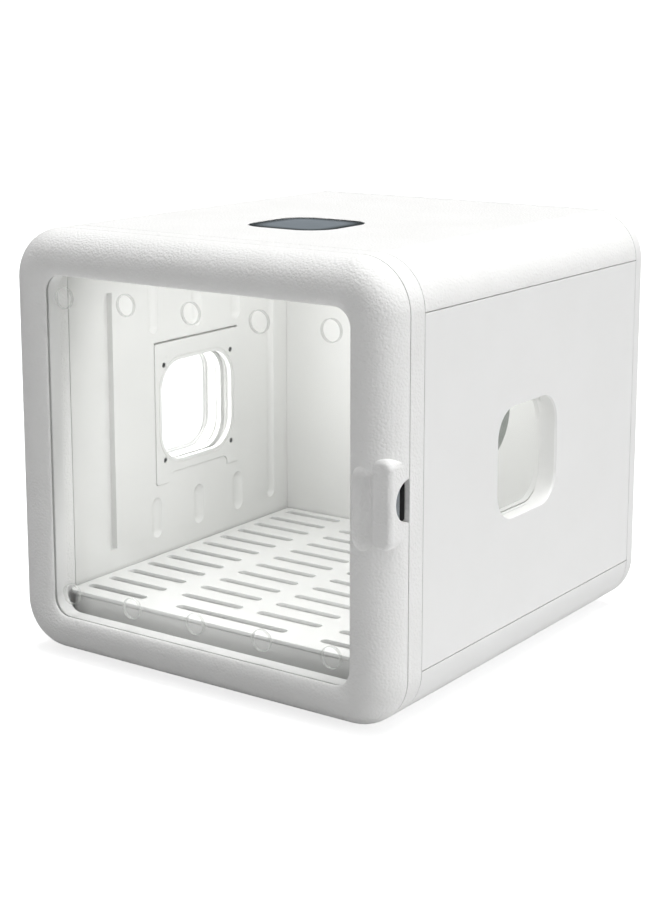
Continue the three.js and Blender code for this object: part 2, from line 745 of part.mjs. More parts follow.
function filterCover() {
  const plate = block(-87.5, 87.5, BACK - 5, BACK, OUTLET.z - 87.5, OUTLET.z + 87.5);
  const slots = [];
  for (let i = 0; i < 9; i++) {
    const z = OUTLET.z - 68 + i * 17;
    slots.push(block(-76, -3, BACK - 6, BACK + 1, z - 4, z + 4));
    slots.push(block(3, 76, BACK - 6, BACK + 1, z - 4, z + 4));
  }
  return cut(plate, ...slots);
}

function powerInlet() {
  return cut(
    joined(block(-174, -126, BACK - 3, BACK, 40, 68), block(-166, -134, BACK - 24, BACK - 3, 42, 66)),
    block(-162, -138, BACK - 18, BACK + 1, 45, 63),
  );
}

function addWarmAirUnit() {
  add(root, "heater", heater(), aluminium);
  add(root, "fan_housing", fanHousing(), blackPlastic);
  add(root, "fan_motor", barAlongY(24, FAN.y0 + 8, FAN.y1 - 4.3, 0, OUTLET.z), steel);
  const turning = movingGroup(0, (FAN.y0 + FAN.y1) / 2, OUTLET.z);
  add(turning, "fan_impeller", impeller(), blackPlastic);
  add(turning, "fan_shaft", barAlongY(2.5, FAN.y0 + 1, FAN.y0 + 7.7, 0, OUTLET.z, 10), steel);
  const cover = movingGroup(0, BACK, OUTLET.z);
  add(cover, "filter_cover", filterCover(), smoothWhite);
  add(cover, "air_filter", block(-85, 85, BACK - 9, BACK - 5.3, OUTLET.z - 85, OUTLET.z + 85), filterGrey);
  add(root, "power_inlet", powerInlet(), blackPlastic);
  add(root, "power_board", block(-90, 90, 200, 201.6, 40, 100), boardGreen);
  add(root, "temperature_probe", barAlongY(3, 168, CABIN_BACK - GAP, 150, 360, 10), steel);
}

// Control panel in the roof.
function addControls() {
  const half = PANEL.side / 2;
  const glass = roundedRect(-half, half, PANEL.y - half, PANEL.y + half, PANEL.corner);
  add(root, "control_glass", plateAlongZ(glass, HEIGHT - 3.4, HEIGHT - 0.4), darkGlass);
  add(root, "control_board", block(-42, 42, PANEL.y - 42, PANEL.y + 42, 426, 427.6), boardGreen);
}

addCase();
addCabin();
addFloor();
addDoor();
addWarmAirUnit();
addControls();

export default root;
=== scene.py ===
"""Looks of a pet drying cabin: a rounded white case with a clear hinged door, a slatted floor over a drip
tray, a window in each side wall and a warm-air unit at the back. Metres, +Z up, the door faces -Y."""

import json
import math

import bmesh
import bpy
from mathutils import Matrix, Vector


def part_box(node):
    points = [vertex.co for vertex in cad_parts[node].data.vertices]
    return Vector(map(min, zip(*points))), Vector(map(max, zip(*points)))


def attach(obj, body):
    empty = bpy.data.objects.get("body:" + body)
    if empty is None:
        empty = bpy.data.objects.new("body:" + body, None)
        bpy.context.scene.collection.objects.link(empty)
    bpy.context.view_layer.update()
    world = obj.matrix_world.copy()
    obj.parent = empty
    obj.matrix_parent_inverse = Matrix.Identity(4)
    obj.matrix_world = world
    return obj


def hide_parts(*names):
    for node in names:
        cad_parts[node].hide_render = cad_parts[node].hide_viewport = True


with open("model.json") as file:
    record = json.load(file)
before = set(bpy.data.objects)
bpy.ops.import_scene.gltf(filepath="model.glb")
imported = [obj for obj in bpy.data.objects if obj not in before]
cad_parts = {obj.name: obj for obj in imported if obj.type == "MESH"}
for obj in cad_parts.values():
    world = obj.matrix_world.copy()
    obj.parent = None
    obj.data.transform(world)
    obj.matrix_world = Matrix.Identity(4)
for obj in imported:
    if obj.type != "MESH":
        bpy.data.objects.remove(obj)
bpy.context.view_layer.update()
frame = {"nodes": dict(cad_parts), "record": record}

MM = 0.001

# Driving places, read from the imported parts.
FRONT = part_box("door_frame")[0].y
DOOR_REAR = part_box("door_frame")[1].y
RING_FRONT, RING_REAR = (corner.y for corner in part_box("front_ring"))
SHELL_FRONT, SHELL_REAR = (corner.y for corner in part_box("side_panel_right"))
REAR_FRONT, BACK = (corner.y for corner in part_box("rear_cover"))
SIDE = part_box("rear_cover")[1].x
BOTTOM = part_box("rear_cover")[0].z
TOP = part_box("rear_cover")[1].z
LOWER_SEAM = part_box("base_shell")[1].z
UPPER_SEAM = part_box("top_shell")[0].z
CABIN_SIDE, LINER_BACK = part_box("liner_right")[0].x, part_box("liner_right")[1].x
CABIN_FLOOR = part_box("liner_right")[0].z
CABIN_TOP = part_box("liner_right")[1].z
CABIN_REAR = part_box("liner_back")[0].y

# Sizes that no part's box gives.
CASE_CORNER = 50 * MM
SKIN = 3 * MM
SEAM_EDGE = 0.6 * MM
DOOR_OPENING = (-181 * MM, 181 * MM, 45 * MM, 392 * MM)
OPENING_CORNER = 18 * MM
WINDOW_HOLE = (-59 * MM, 57.5 * MM, 163.5 * MM, 274 * MM)
WINDOW_CORNER = 30 * MM
PANEL_CORNER = 31 * MM

# Modelling steps -------------------------------------------------------------------------------------

HAIR = 0.03 * MM
ACROSS = {"X": (1, 2), "Y": (0, 2), "Z": (0, 1)}
TURNED = {"X": (0, math.pi / 2, 0), "Y": (math.pi / 2, 0, 0), "Z": (0, 0, 0)}


def deselect():
    if bpy.context.object is not None and bpy.context.object.mode != "OBJECT":
        bpy.ops.object.mode_set(mode="OBJECT")
    bpy.ops.object.select_all(action="DESELECT")


def pick(piece):
    deselect()
    piece.select_set(True)
    bpy.context.view_layer.objects.active = piece


def edit(piece):
    pick(piece)
    bpy.ops.object.mode_set(mode="EDIT")
    bpy.ops.mesh.select_mode(type="VERT")


def leave(piece, outwards=True):
    if outwards:
        bpy.ops.mesh.select_all(action="SELECT")
        bpy.ops.mesh.normals_make_consistent(inside=False)
    bpy.ops.object.mode_set(mode="OBJECT")
    return piece


def grown(rect, by):
    return (rect[0] - by, rect[1] + by, rect[2] - by, rect[3] + by)


def between(first, second, share):
    return tuple(a + (b - a) * share for a, b in zip(first, second))


def case_rect(inset):
    return grown((-SIDE, SIDE, BOTTOM, TOP), -inset)


def add_outline(axis, at, rect, corner, steps):
    """A rounded rectangle of edges, square to the axis."""
    first, second = ACROSS[axis]
    place, size = [0, 0, 0], [1, 1, 1]
    place["XYZ".index(axis)] = at
    place[first], place[second] = (rect[0] + rect[1]) / 2, (rect[2] + rect[3]) / 2
    size[first], size[second] = rect[1] - rect[0], rect[3] - rect[2]
    bpy.ops.mesh.primitive_plane_add(size=1, location=place, rotation=TURNED[axis])
    bpy.ops.transform.resize(value=size, center_override=place)
    bpy.ops.mesh.bevel(
        offset=corner, offset_type="OFFSET", segments=steps, affect="VERTICES", profile=0.5
    )
    bpy.ops.mesh.delete(type="ONLY_FACE")


def number_outline(mesh, number):
    """Marks the newest outline's points with its number."""
    shape = bmesh.from_edit_mesh(mesh)
    layer = shape.verts.layers.int.get("outline") or shape.verts.layers.int.new("outline")
    for vert in shape.verts:
        if not vert[layer]:
            vert[layer] = number


def select_outlines(mesh, *numbers):
    shape = bmesh.from_edit_mesh(mesh)
    layer = shape.verts.layers.int["outline"]
    bpy.ops.mesh.select_all(action="DESELECT")
    for vert in shape.verts:
        vert.select = vert[layer] in numbers
    shape.select_flush(True)
    bmesh.update_edit_mesh(mesh)


def loft(axis, sections, steps=8, ring=False):
    """A skin drawn over rounded rectangles, each (place on the axis, rectangle, corner radius).
    A ring's last section joins its first, and any other shape is closed at both ends.
    Neighbours in one plane are set a hair apart, because two level outlines have no bridging direction."""
    places = [section[0] for section in sections]
    for i in range(0 if ring else 1, len(places)):
        if abs(places[i] - places[i - 1]) < HAIR:
            places[i] -= HAIR
    deselect()
    bpy.ops.mesh.primitive_plane_add(size=1)
    piece = bpy.context.object
    edit(piece)
    bpy.ops.mesh.select_all(action="SELECT")
    bpy.ops.mesh.delete(type="VERT")
    count = len(sections)
    for i, (_, rect, corner) in enumerate(sections):
        add_outline(axis, places[i], rect, corner, steps)
        number_outline(piece.data, i + 1)
    for i in range(1, count):
        select_outlines(piece.data, i, i + 1)
        bpy.ops.mesh.bridge_edge_loops()
    if ring:
        select_outlines(piece.data, count, 1)
        bpy.ops.mesh.bridge_edge_loops()
    else:
        for end in (1, count):
            select_outlines(piece.data, end)
            bpy.ops.mesh.edge_face_add()
    leave(piece)
    piece.data.attributes.remove(piece.data.attributes["outline"])
    return piece


def slab(axis, low, high, rect, corner, edge=0.5 * MM, steps=8, edge_steps=2):
    """A plate with a rounded outline and rounded edges."""
    sections = []
    for i in range(edge_steps + 1):
        turn = math.pi / 2 * i / edge_steps
        inset, lift = edge * (1 - math.sin(turn)), edge * (1 - math.cos(turn))
        sections.append((low + lift, grown(rect, -inset), max(corner - inset, corner * 0.3)))
    rear = [(low + high - at, face, radius) for at, face, radius in reversed(sections)]
    return loft(axis, sections + rear, steps)


def band(axis, low, high, outer, outer_corner, inner, inner_corner, edge=0.5 * MM, steps=10):
    """A frame between two rounded outlines, with its four edges rounded."""
    sections = []
    for i in range(4):
        turn = math.pi / 2 * i / 3
        inset, lift = edge * (1 - math.sin(turn)), edge * (1 - math.cos(turn))
        sections.append((low + lift, grown(outer, -inset), outer_corner - inset))
    sections += [(low + high - at, rect, corner) for at, rect, corner in reversed(sections)]
    hole = []
    for i in range(4):
        turn = math.pi / 2 * i / 3
        inset, lift = edge * (1 - math.sin(turn)), edge * (1 - math.cos(turn))
        hole.append((high - lift, grown(inner, inset), inner_corner + inset))
    hole += [(low + high - at, rect, corner) for at, rect, corner in reversed(hole)]
    return loft(axis, sections + hole, steps, ring=True)


def rod(axis, radius, low, high, across, sides=32, edge=0.4 * MM):
    """A round bar with rounded ends."""
    first, second = ACROSS[axis]
    place = [0, 0, 0]
    place["XYZ".index(axis)] = (low + high) / 2
    place[first], place[second] = across
    deselect()
    bpy.ops.mesh.primitive_cylinder_add(
        vertices=sides, radius=radius, depth=high - low, location=place, rotation=TURNED[axis]
    )
    piece = bpy.context.object
    bpy.ops.object.transform_apply(location=True, rotation=True, scale=True)
    if edge:
        soften(piece, edge, 2, 60)
    return piece


def upright_capsule(radius, across, low, high):
    """A ball drawn out upwards. Its ends are centred on the two heights."""
    deselect()
    bpy.ops.mesh.primitive_uv_sphere_add(segments=48, ring_count=24, radius=radius, location=(*across, high))
    tool = bpy.context.object
    bpy.ops.object.transform_apply(location=True, rotation=True, scale=True)
    edit(tool)
    shape = bmesh.from_edit_mesh(tool.data)
    bpy.ops.mesh.select_all(action="DESELECT")
    for vert in shape.verts:
        vert.select = vert.co.z < high - radius * 0.01
    shape.select_flush(True)
    bpy.ops.transform.translate(value=(0, 0, low - high))
    return leave(tool)


def soften(piece, width, segments=2, angle=35, sliver=0.1 * MM):
    """Rounds the piece's sharp edges, once slivers left by the cuts are merged away."""
    edit(piece)
    bpy.ops.mesh.select_all(action="SELECT")
    bpy.ops.mesh.remove_doubles(threshold=sliver)
    leave(piece)
    pick(piece)
    rounding = piece.modifiers.new("rounding", "BEVEL")
    rounding.width = width
    rounding.segments = segments
    rounding.limit_method = "ANGLE"
    rounding.angle_limit = math.radians(angle)
    rounding.use_clamp_overlap = True
    rounding.harden_normals = False
    bpy.ops.object.modifier_apply(modifier=rounding.name)
    return piece


def joined(pieces):
    deselect()
    for piece in pieces:
        piece.select_set(True)
    bpy.context.view_layer.objects.active = pieces[0]
    if len(pieces) > 1:
        bpy.ops.object.join()
    return pieces[0]


def carve(piece, tools, how="DIFFERENCE"):
    """Cuts the tools out of the piece, or adds them to it."""
    tool = joined(tools)
    pick(piece)
    step = piece.modifiers.new("step", "BOOLEAN")
    step.object = tool
    step.operation = how
    step.solver = "EXACT"
    bpy.ops.object.modifier_apply(modifier=step.name)
    bpy.data.objects.remove(tool, do_unlink=True)
    return piece


def copied(piece, move=(0, 0, 0)):
    twin = piece.copy()
    twin.data = piece.data.copy()
    bpy.context.scene.collection.objects.link(twin)
    if any(move):
        edit(twin)
        bpy.ops.mesh.select_all(action="SELECT")
        bpy.ops.transform.translate(value=move)
        leave(twin, outwards=False)
    return twin


def mirrored(piece):
    """A copy on the other side of the cabin."""
    twin = copied(piece)
    edit(twin)
    bpy.ops.mesh.select_all(action="SELECT")
    bpy.ops.transform.resize(value=(-1, 1, 1), center_override=(0, 0, 0))
    return leave(twin)


def turned_about_y(piece, angle, centre):
    edit(piece)
    bpy.ops.mesh.select_all(action="SELECT")
    bpy.ops.transform.rotate(value=angle, orient_axis="Y", center_override=centre)
    return leave(piece)


def block(low, high):
    """A plain box, only used as a tool."""
    place = [(a + b) / 2 for a, b in zip(low, high)]
    deselect()
    bpy.ops.mesh.primitive_cube_add(size=1, location=place)
    tool = bpy.context.object
    bpy.ops.object.transform_apply(location=True, rotation=True, scale=True)
    edit(tool)
    bpy.ops.mesh.select_all(action="SELECT")
    bpy.ops.transform.resize(value=[b - a for a, b in zip(low, high)], center_override=place)
    return leave(tool)


def kept(piece, low, high):
    """Keeps only what lies inside a box."""
    return carve(piece, [block(low, high)], "INTERSECT")


def place_piece(piece, name, body, slot, material, *nodes, smooth=30):
    """Gives a finished piece its name, finish and body, and hides the CAD parts that it stands for."""
    piece.name = name
    piece.data.name = name
    piece.data.materials.clear()
    piece.data.materials.append(material)
    pick(piece)
    bpy.ops.object.shade_smooth_by_angle(angle=math.radians(smooth))
    flats = piece.modifiers.new("flats", "WEIGHTED_NORMAL")
    flats.keep_sharp = True
    bpy.ops.object.modifier_apply(modifier=flats.name)
    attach(piece, body)
    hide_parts(*nodes)
    return piece


# Materials -------------------------------------------------------------------------------------------


class Finish:
    """A Principled material with its nodes wired by hand."""

    def __init__(self, name, colour, roughness, **settings):
        self.material = bpy.data.materials.new(name)
        self.material.use_nodes = True
        self.nodes = self.material.node_tree.nodes
        self.links = self.material.node_tree.links
        self.shader = self.nodes["Principled BSDF"]
        self.shader.inputs["Base Color"].default_value = (*colour, 1)
        self.shader.inputs["Roughness"].default_value = roughness
        for socket, value in settings.items():
            self.shader.inputs[socket.replace("_", " ")].default_value = value
        self.place = self.nodes.new("ShaderNodeTexCoord")

    def noise(self, size, detail=3, roughness=0.5):
        node = self.nodes.new("ShaderNodeTexNoise")
        node.inputs["Scale"].default_value = 1 / size
        node.inputs["Detail"].default_value = detail
        node.inputs["Roughness"].default_value = roughness
        self.links.new(self.place.outputs["Object"], node.inputs["Vector"])
        return node.outputs["Fac"]

    def cells(self, size, feature="SMOOTH_F1"):
        node = self.nodes.new("ShaderNodeTexVoronoi")
        node.feature = feature
        node.inputs["Scale"].default_value = 1 / size
        self.links.new(self.place.outputs["Object"], node.inputs["Vector"])
        return node.outputs["Distance"]

    def ranged(self, source, low, high, start=0.0, end=1.0):
        node = self.nodes.new("ShaderNodeMapRange")
        node.inputs["From Min"].default_value = start
        node.inputs["From Max"].default_value = end
        node.inputs["To Min"].default_value = low
        node.inputs["To Max"].default_value = high
        self.links.new(source, node.inputs["Value"])
        return node.outputs["Result"]

    def maths(self, how, first, second):
        node = self.nodes.new("ShaderNodeMath")
        node.operation = how
        for socket, value in zip(node.inputs, (first, second)):
            if isinstance(value, (int, float)):
                socket.default_value = value
            else:
                self.links.new(value, socket)
        return node.outputs["Value"]

    def blend(self, share, low, high):
        node = self.nodes.new("ShaderNodeMix")
        node.data_type = "RGBA"
        self.links.new(share, node.inputs["Factor"])
        for socket, value in ((node.inputs[6], low), (node.inputs[7], high)):
            if isinstance(value, tuple):
                socket.default_value = (*value, 1)
            else:
                self.links.new(value, socket)
        return node.outputs[2]

    def colour(self, source):
        self.links.new(source, self.shader.inputs["Base Color"])

    def rough(self, source):
        self.links.new(source, self.shader.inputs["Roughness"])

    def relief(self, height, distance, strength=1.0):
        node = self.nodes.new("ShaderNodeBump")
        node.inputs["Distance"].default_value = distance
        node.inputs["Strength"].default_value = strength
        self.links.new(height, node.inputs["Height"])
        self.links.new(node.outputs["Normal"], self.shader.inputs["Normal"])


def clouded(finish, low, high, size=60 * MM):
    """A faint change of tone over the surface."""
    finish.colour(finish.blend(finish.ranged(finish.noise(size), 0, 1, 0.35, 0.65), low, high))


def grained_white():
    """Moulded case parts with a pebbled grain."""
    finish = Finish("grained_white", (0.87, 0.87, 0.86), 0.62)
    clouded(finish, (0.865, 0.865, 0.855), (0.885, 0.885, 0.877))
    pebbles = finish.cells(2.3 * MM)
    fine = finish.noise(1.1 * MM, 2)
    finish.relief(finish.maths("ADD", pebbles, finish.maths("MULTIPLY", fine, 0.35)), 0.5 * MM)
    finish.rough(finish.ranged(pebbles, 0.56, 0.7, 0.1, 0.7))
    return finish.material


def fine_white():
    """Smoother moulded panels with only a trace of texture."""
    finish = Finish("fine_white", (0.87, 0.87, 0.86), 0.5)
    clouded(finish, (0.865, 0.867, 0.86), (0.88, 0.882, 0.877), 90 * MM)
    grain = finish.noise(1.6 * MM, 2)
    finish.relief(grain, 0.06 * MM)
    finish.rough(finish.ranged(finish.noise(14 * MM), 0.46, 0.55))
    return finish.material


def lining():
    """Satin cabin lining, a little greener than the case."""
    finish = Finish("lining", (0.80, 0.803, 0.79), 0.4)
    clouded(finish, (0.787, 0.79, 0.777), (0.812, 0.815, 0.80), 80 * MM)
    finish.relief(finish.noise(7 * MM, 2), 0.05 * MM)
    finish.rough(finish.ranged(finish.noise(25 * MM), 0.34, 0.46))
    return finish.material


def tray_plastic():
    finish = Finish("tray_plastic", (0.87, 0.875, 0.865), 0.35)
    clouded(finish, (0.86, 0.865, 0.853), (0.885, 0.89, 0.877), 70 * MM)
    finish.relief(finish.noise(6 * MM, 3), 0.1 * MM)
    finish.rough(finish.ranged(finish.noise(18 * MM), 0.3, 0.42))
    return finish.material


def outlet_plastic():
    finish = Finish("outlet_plastic", (0.26, 0.275, 0.26), 0.5)
    clouded(finish, (0.248, 0.262, 0.248), (0.272, 0.288, 0.272), 40 * MM)
    finish.relief(finish.noise(1.5 * MM, 2), 0.08 * MM)
    return finish.material


def clear_sheet(name, solid, tint):
    """Clear acrylic that lets light through, with a trace of haze and wiping marks."""
    finish = Finish(name, tint, 0.08, IOR=1.49)
    finish.rough(finish.ranged(finish.noise(40 * MM, 4), 0.05, 0.14))
    finish.shader.inputs["Alpha"].default_value = solid
    clouded(finish, tuple(part * 0.97 for part in tint), tuple(part * 1.03 for part in tint), 50 * MM)
    return finish.material


def panel_glass():
    """Dark printed glass: a paler middle and a darker rim, with a faint clouding of tone."""
    finish = Finish("panel_glass", (0.12, 0.15, 0.165), 0.18)
    shift = finish.nodes.new("ShaderNodeMapping")
    low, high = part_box("control_glass")
    shift.inputs["Location"].default_value = (-(low.x + high.x) / 2, -(low.y + high.y) / 2, -high.z)
    finish.links.new(finish.place.outputs["Object"], shift.inputs["Vector"])
    split = finish.nodes.new("ShaderNodeSeparateXYZ")
    finish.links.new(shift.outputs["Vector"], split.inputs["Vector"])
    half = (high.x - low.x) / 2
    powers = [
        finish.maths("POWER", finish.maths("DIVIDE", finish.maths("ABSOLUTE", way, 0), half), 4)
        for way in (split.outputs["X"], split.outputs["Y"])
    ]
    edge = finish.maths("ADD", *powers)
    body = finish.blend(
        finish.ranged(edge, 0, 1, 0.15, 0.6), (0.33, 0.375, 0.415), (0.04, 0.048, 0.052)
    )
    finish.colour(finish.blend(finish.ranged(finish.noise(30 * MM), 0, 0.25), body, (0.16, 0.19, 0.2)))
    finish.rough(finish.ranged(finish.noise(20 * MM, 4), 0.14, 0.24))
    return finish.material


def felt_pad():
    finish = Finish("felt_pad", (0.14, 0.155, 0.165), 0.85, Sheen_Weight=0.3)
    specks = finish.noise(0.7 * MM, 3, 0.7)
    finish.colour(
        finish.blend(finish.ranged(specks, 0, 1, 0.35, 0.65), (0.07, 0.085, 0.095), (0.30, 0.33, 0.35))
    )
    finish.relief(specks, 0.3 * MM)
    return finish.material


def soft_rubber():
    finish = Finish("soft_rubber", (0.03, 0.03, 0.03), 0.8)
    clouded(finish, (0.025, 0.025, 0.026), (0.045, 0.045, 0.046), 12 * MM)
    finish.relief(finish.noise(0.8 * MM, 2), 0.1 * MM)
    return finish.material


def bright_steel():
    finish = Finish("bright_steel", (0.55, 0.55, 0.55), 0.32, Metallic=1.0)
    clouded(finish, (0.50, 0.50, 0.50), (0.62, 0.62, 0.61), 8 * MM)
    finish.rough(finish.ranged(finish.noise(2 * MM, 4), 0.25, 0.45))
    finish.relief(finish.noise(0.6 * MM, 2), 0.02 * MM)
    return finish.material


def screw_steel():
    finish = Finish("screw_steel", (0.16, 0.16, 0.165), 0.4, Metallic=0.8)
    clouded(finish, (0.12, 0.12, 0.125), (0.22, 0.22, 0.225), 2 * MM)
    finish.rough(finish.ranged(finish.noise(1 * MM, 3), 0.3, 0.5))
    return finish.material


def pressed_aluminium():
    finish = Finish("pressed_aluminium", (0.65, 0.66, 0.67), 0.4, Metallic=1.0)
    clouded(finish, (0.6, 0.61, 0.62), (0.7, 0.71, 0.72), 15 * MM)
    finish.rough(finish.ranged(finish.noise(3 * MM, 3), 0.32, 0.5))
    return finish.material


def black_plastic():
    finish = Finish("black_plastic", (0.022, 0.023, 0.025), 0.45)
    clouded(finish, (0.018, 0.019, 0.02), (0.032, 0.033, 0.036), 20 * MM)
    finish.relief(finish.noise(0.9 * MM, 2), 0.08 * MM)
    return finish.material


def board_lacquer():
    """Green lacquer over faint copper tracks."""
    finish = Finish("board_lacquer", (0.02, 0.14, 0.07), 0.35)
    tracks = finish.ranged(finish.cells(9 * MM, "DISTANCE_TO_EDGE"), 1, 0, 0.03, 0.06)
    finish.colour(finish.blend(tracks, (0.016, 0.12, 0.06), (0.04, 0.22, 0.10)))
    return finish.material


def filter_foam():
    finish = Finish("filter_foam", (0.2, 0.21, 0.2), 0.95)
    pores = finish.cells(2.2 * MM, "F1")
    finish.colour(finish.blend(finish.ranged(pores, 0, 1, 0.1, 0.7), (0.05, 0.055, 0.05), (0.3, 0.32, 0.31)))
    finish.relief(pores, 0.6 * MM)
    return finish.material


GRAINED = grained_white()
FINE = fine_white()
LINING = lining()
TRAY = tray_plastic()
OUTLET = outlet_plastic()
DOOR_SHEET = clear_sheet("door_sheet", 0.05, (0.50, 0.52, 0.50))
WINDOW_SHEET = clear_sheet("window_sheet", 0.06, (0.50, 0.52, 0.50))
# Paler and more opaque than the panes: painted highlight on the vent edges.
VENT_EDGE_HIGHLIGHT = clear_sheet("vent_edge_painted_highlight", 0.22, (0.78, 0.80, 0.78))
PANEL = panel_glass()
PAD = felt_pad()
RUBBER = soft_rubber()
STEEL = bright_steel()
DARK_STEEL = screw_steel()
ALUMINIUM = pressed_aluminium()
BLACK = black_plastic()
BOARD = board_lacquer()
FOAM = filter_foam()

KEPT_FINISHES = {
    "grained_white": GRAINED,
    "smooth_white": FINE,
    "cabin_lining": LINING,
    "tray_white": TRAY,
    "outlet_grey": OUTLET,
    "clear_acrylic": WINDOW_SHEET,
    "dark_glass": PANEL,
    "dark_pad": PAD,
    "rubber": RUBBER,
    "steel": STEEL,
    "heater_aluminium": ALUMINIUM,
    "black_plastic": BLACK,
    "circuit_board": BOARD,
    "filter_foam": FOAM,
}


def dress_cad_parts():
    """Gives every CAD part the finish that the record names for it."""
    for part in frame["record"]["subparts"]:
        node = frame["nodes"][part["node"]]
        node.data.materials.clear()
        node.data.materials.append(KEPT_FINISHES[part["material_slot"]])


# Case ------------------------------------------------------------------------------------------------


def case_band(low, high, edge=SEAM_EDGE, steps=12):
    """The case's skin between two places along its depth, with rounded edges at the seams."""
    sections = []
    for share in (0, 0.5, 1):
        turn = math.pi / 2 * share
        inset, lift = edge * (1 - math.sin(turn)), edge * (1 - math.cos(turn))
        sections.append((low + lift, case_rect(inset), CASE_CORNER - inset))
    sections += [(low + high - at, rect, corner) for at, rect, corner in reversed(sections)]
    sections += [
        (high, case_rect(SKIN), CASE_CORNER - SKIN),
        (low, case_rect(SKIN), CASE_CORNER - SKIN),
    ]
    return loft("Y", sections, steps, ring=True)


def make_front_ring():
    mouth = (-CABIN_SIDE, CABIN_SIDE, CABIN_FLOOR, CABIN_TOP + 0.3 * MM)
    edge = SEAM_EDGE
    ring = band(
        "Y", RING_FRONT, RING_REAR, case_rect(0), CASE_CORNER, mouth, 1 * MM, edge=edge, steps=12
    )
    tools = [strike_pocket(RING_FRONT - 1 * MM, RING_FRONT + 2 * MM)]
    for name in ("hinge_lower_case_leaf", "hinge_upper_case_leaf"):
        tools.append(leaf_pocket(name, RING_FRONT - 1 * MM, RING_FRONT + 2.6 * MM))
    carve(ring, tools)
    carve(ring, hinge_notches())
    place_piece(ring, "moulded_front_ring", "case", "grained_white", GRAINED, "front_ring")


def strike_pocket(low, high):
    plate_low, plate_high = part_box("strike_plate")
    rect = grown((plate_low.x, plate_high.x, plate_low.z, plate_high.z), 0.3 * MM)
    return slab("Y", low, high, rect, 0.8 * MM, 0.1 * MM, 3, 1)


def leaf_pocket(name, low, high):
    leaf_low, leaf_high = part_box(name)
    middle = (hinge_span(name)[0] + hinge_span(name)[1]) / 2
    rect = (-SIDE - 1 * MM, leaf_high.x + 0.5 * MM, middle - 21 * MM, middle + 21 * MM)
    return slab("Y", low, high, rect, 1 * MM, 0.1 * MM, 3, 1)


def hinge_span(name):
    """The whole hinge's lowest and highest point, for either of its leaves."""
    which = "upper" if "upper" in name else "lower"
    low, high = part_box(f"hinge_{which}_pin")
    return low.z, high.z


def hinge_notches():
    notches = []
    for which in ("lower", "upper"):
        low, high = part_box(f"hinge_{which}_pin")
        across = ((low.x + high.x) / 2, (low.y + high.y) / 2)
        notches.append(rod("Z", 3.8 * MM, low.z - 1 * MM, high.z + 1 * MM, across, 32, 0))
    return notches


def make_shells():
    """Bottom shell, top shell with the panel's opening, and the two side panels with their windows."""
    tube = case_band(SHELL_FRONT, SHELL_REAR)
    panel_low, panel_high = (corner.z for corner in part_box("side_panel_right"))
    base = kept(copied(tube), (-1, -1, 0), (1, 1, LOWER_SEAM))
    top = kept(copied(tube), (-1, -1, UPPER_SEAM), (1, 1, 1))
    right = kept(copied(tube), (0, -1, panel_low), (1, 1, panel_high))
    bpy.data.objects.remove(tube, do_unlink=True)

    low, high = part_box("control_glass")
    around = grown((low.x, high.x, low.y, high.y), 0.7 * MM)
    opening = slab("Z", TOP - 6 * MM, TOP + 1 * MM, around, PANEL_CORNER + 0.7 * MM, 0.1 * MM, 16, 1)
    carve(top, [opening])
    window = slab("X", SIDE - 6 * MM, SIDE + 1 * MM, WINDOW_HOLE, WINDOW_CORNER, 0.1 * MM, 12, 1)
    carve(right, [window])
    soften(base, SEAM_EDGE, 2, 50)
    soften(top, SEAM_EDGE, 2, 50)
    soften(right, 1.1 * MM, 3, 50)
    left = mirrored(right)
    place_piece(base, "moulded_base_shell", "case", "smooth_white", FINE, "base_shell")
    place_piece(top, "moulded_top_shell", "case", "grained_white", GRAINED, "top_shell")
    place_piece(right, "moulded_side_panel_right", "case", "smooth_white", FINE, "side_panel_right")
    place_piece(left, "moulded_side_panel_left", "case", "smooth_white", FINE, "side_panel_left")


def make_rear_cover():
    edge, round_edge = SEAM_EDGE, 8 * MM
    sections = []
    for share in (0, 0.5, 1):
        turn = math.pi / 2 * share
        inset, lift = edge * (1 - math.sin(turn)), edge * (1 - math.cos(turn))
        sections.append((REAR_FRONT + lift, case_rect(inset), CASE_CORNER - inset))
    for i in range(7):
        turn = math.pi / 2 * i / 6
        inset, lift = round_edge * (1 - math.cos(turn)), round_edge * (1 - math.sin(turn))
        sections.append((BACK - lift, case_rect(inset), CASE_CORNER - inset))
    flat = round_edge + 1.5 * MM
    sections.append((BACK, case_rect(flat), CASE_CORNER - flat))
    sections = [
        (BACK - SKIN, case_rect(12 * MM), CASE_CORNER - 12 * MM),
        (BACK - SKIN - 4 * MM, case_rect(SKIN + 1 * MM), CASE_CORNER - SKIN - 1 * MM),
        (REAR_FRONT, case_rect(SKIN), CASE_CORNER - SKIN),
    ] + sections
    cover = loft("Y", sections, 12)
    low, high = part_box("filter_cover")
    around = grown((low.x, high.x, low.z, high.z), 0.5 * MM)
    tools = [slab("Y", BACK - 9 * MM, BACK + 1 * MM, around, 6 * MM, 0.1 * MM, 6, 1)]
    low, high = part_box("power_inlet")
    around = grown((low.x, high.x, low.z, high.z), 0.5 * MM)
    tools.append(slab("Y", BACK - 9 * MM, BACK + 1 * MM, around, 3 * MM, 0.1 * MM, 6, 1))
    for i in range(1, 5):
        low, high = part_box(f"rear_screw_{i}")
        across = ((low.x + high.x) / 2, (low.z + high.z) / 2)
        tools.append(rod("Y", 4.4 * MM, BACK - 1.6 * MM, BACK + 1 * MM, across, 32, 0))
    carve(cover, tools)
    soften(cover, 0.5 * MM, 2, 50)
    place_piece(cover, "moulded_rear_cover", "case", "smooth_white", FINE, "rear_cover")


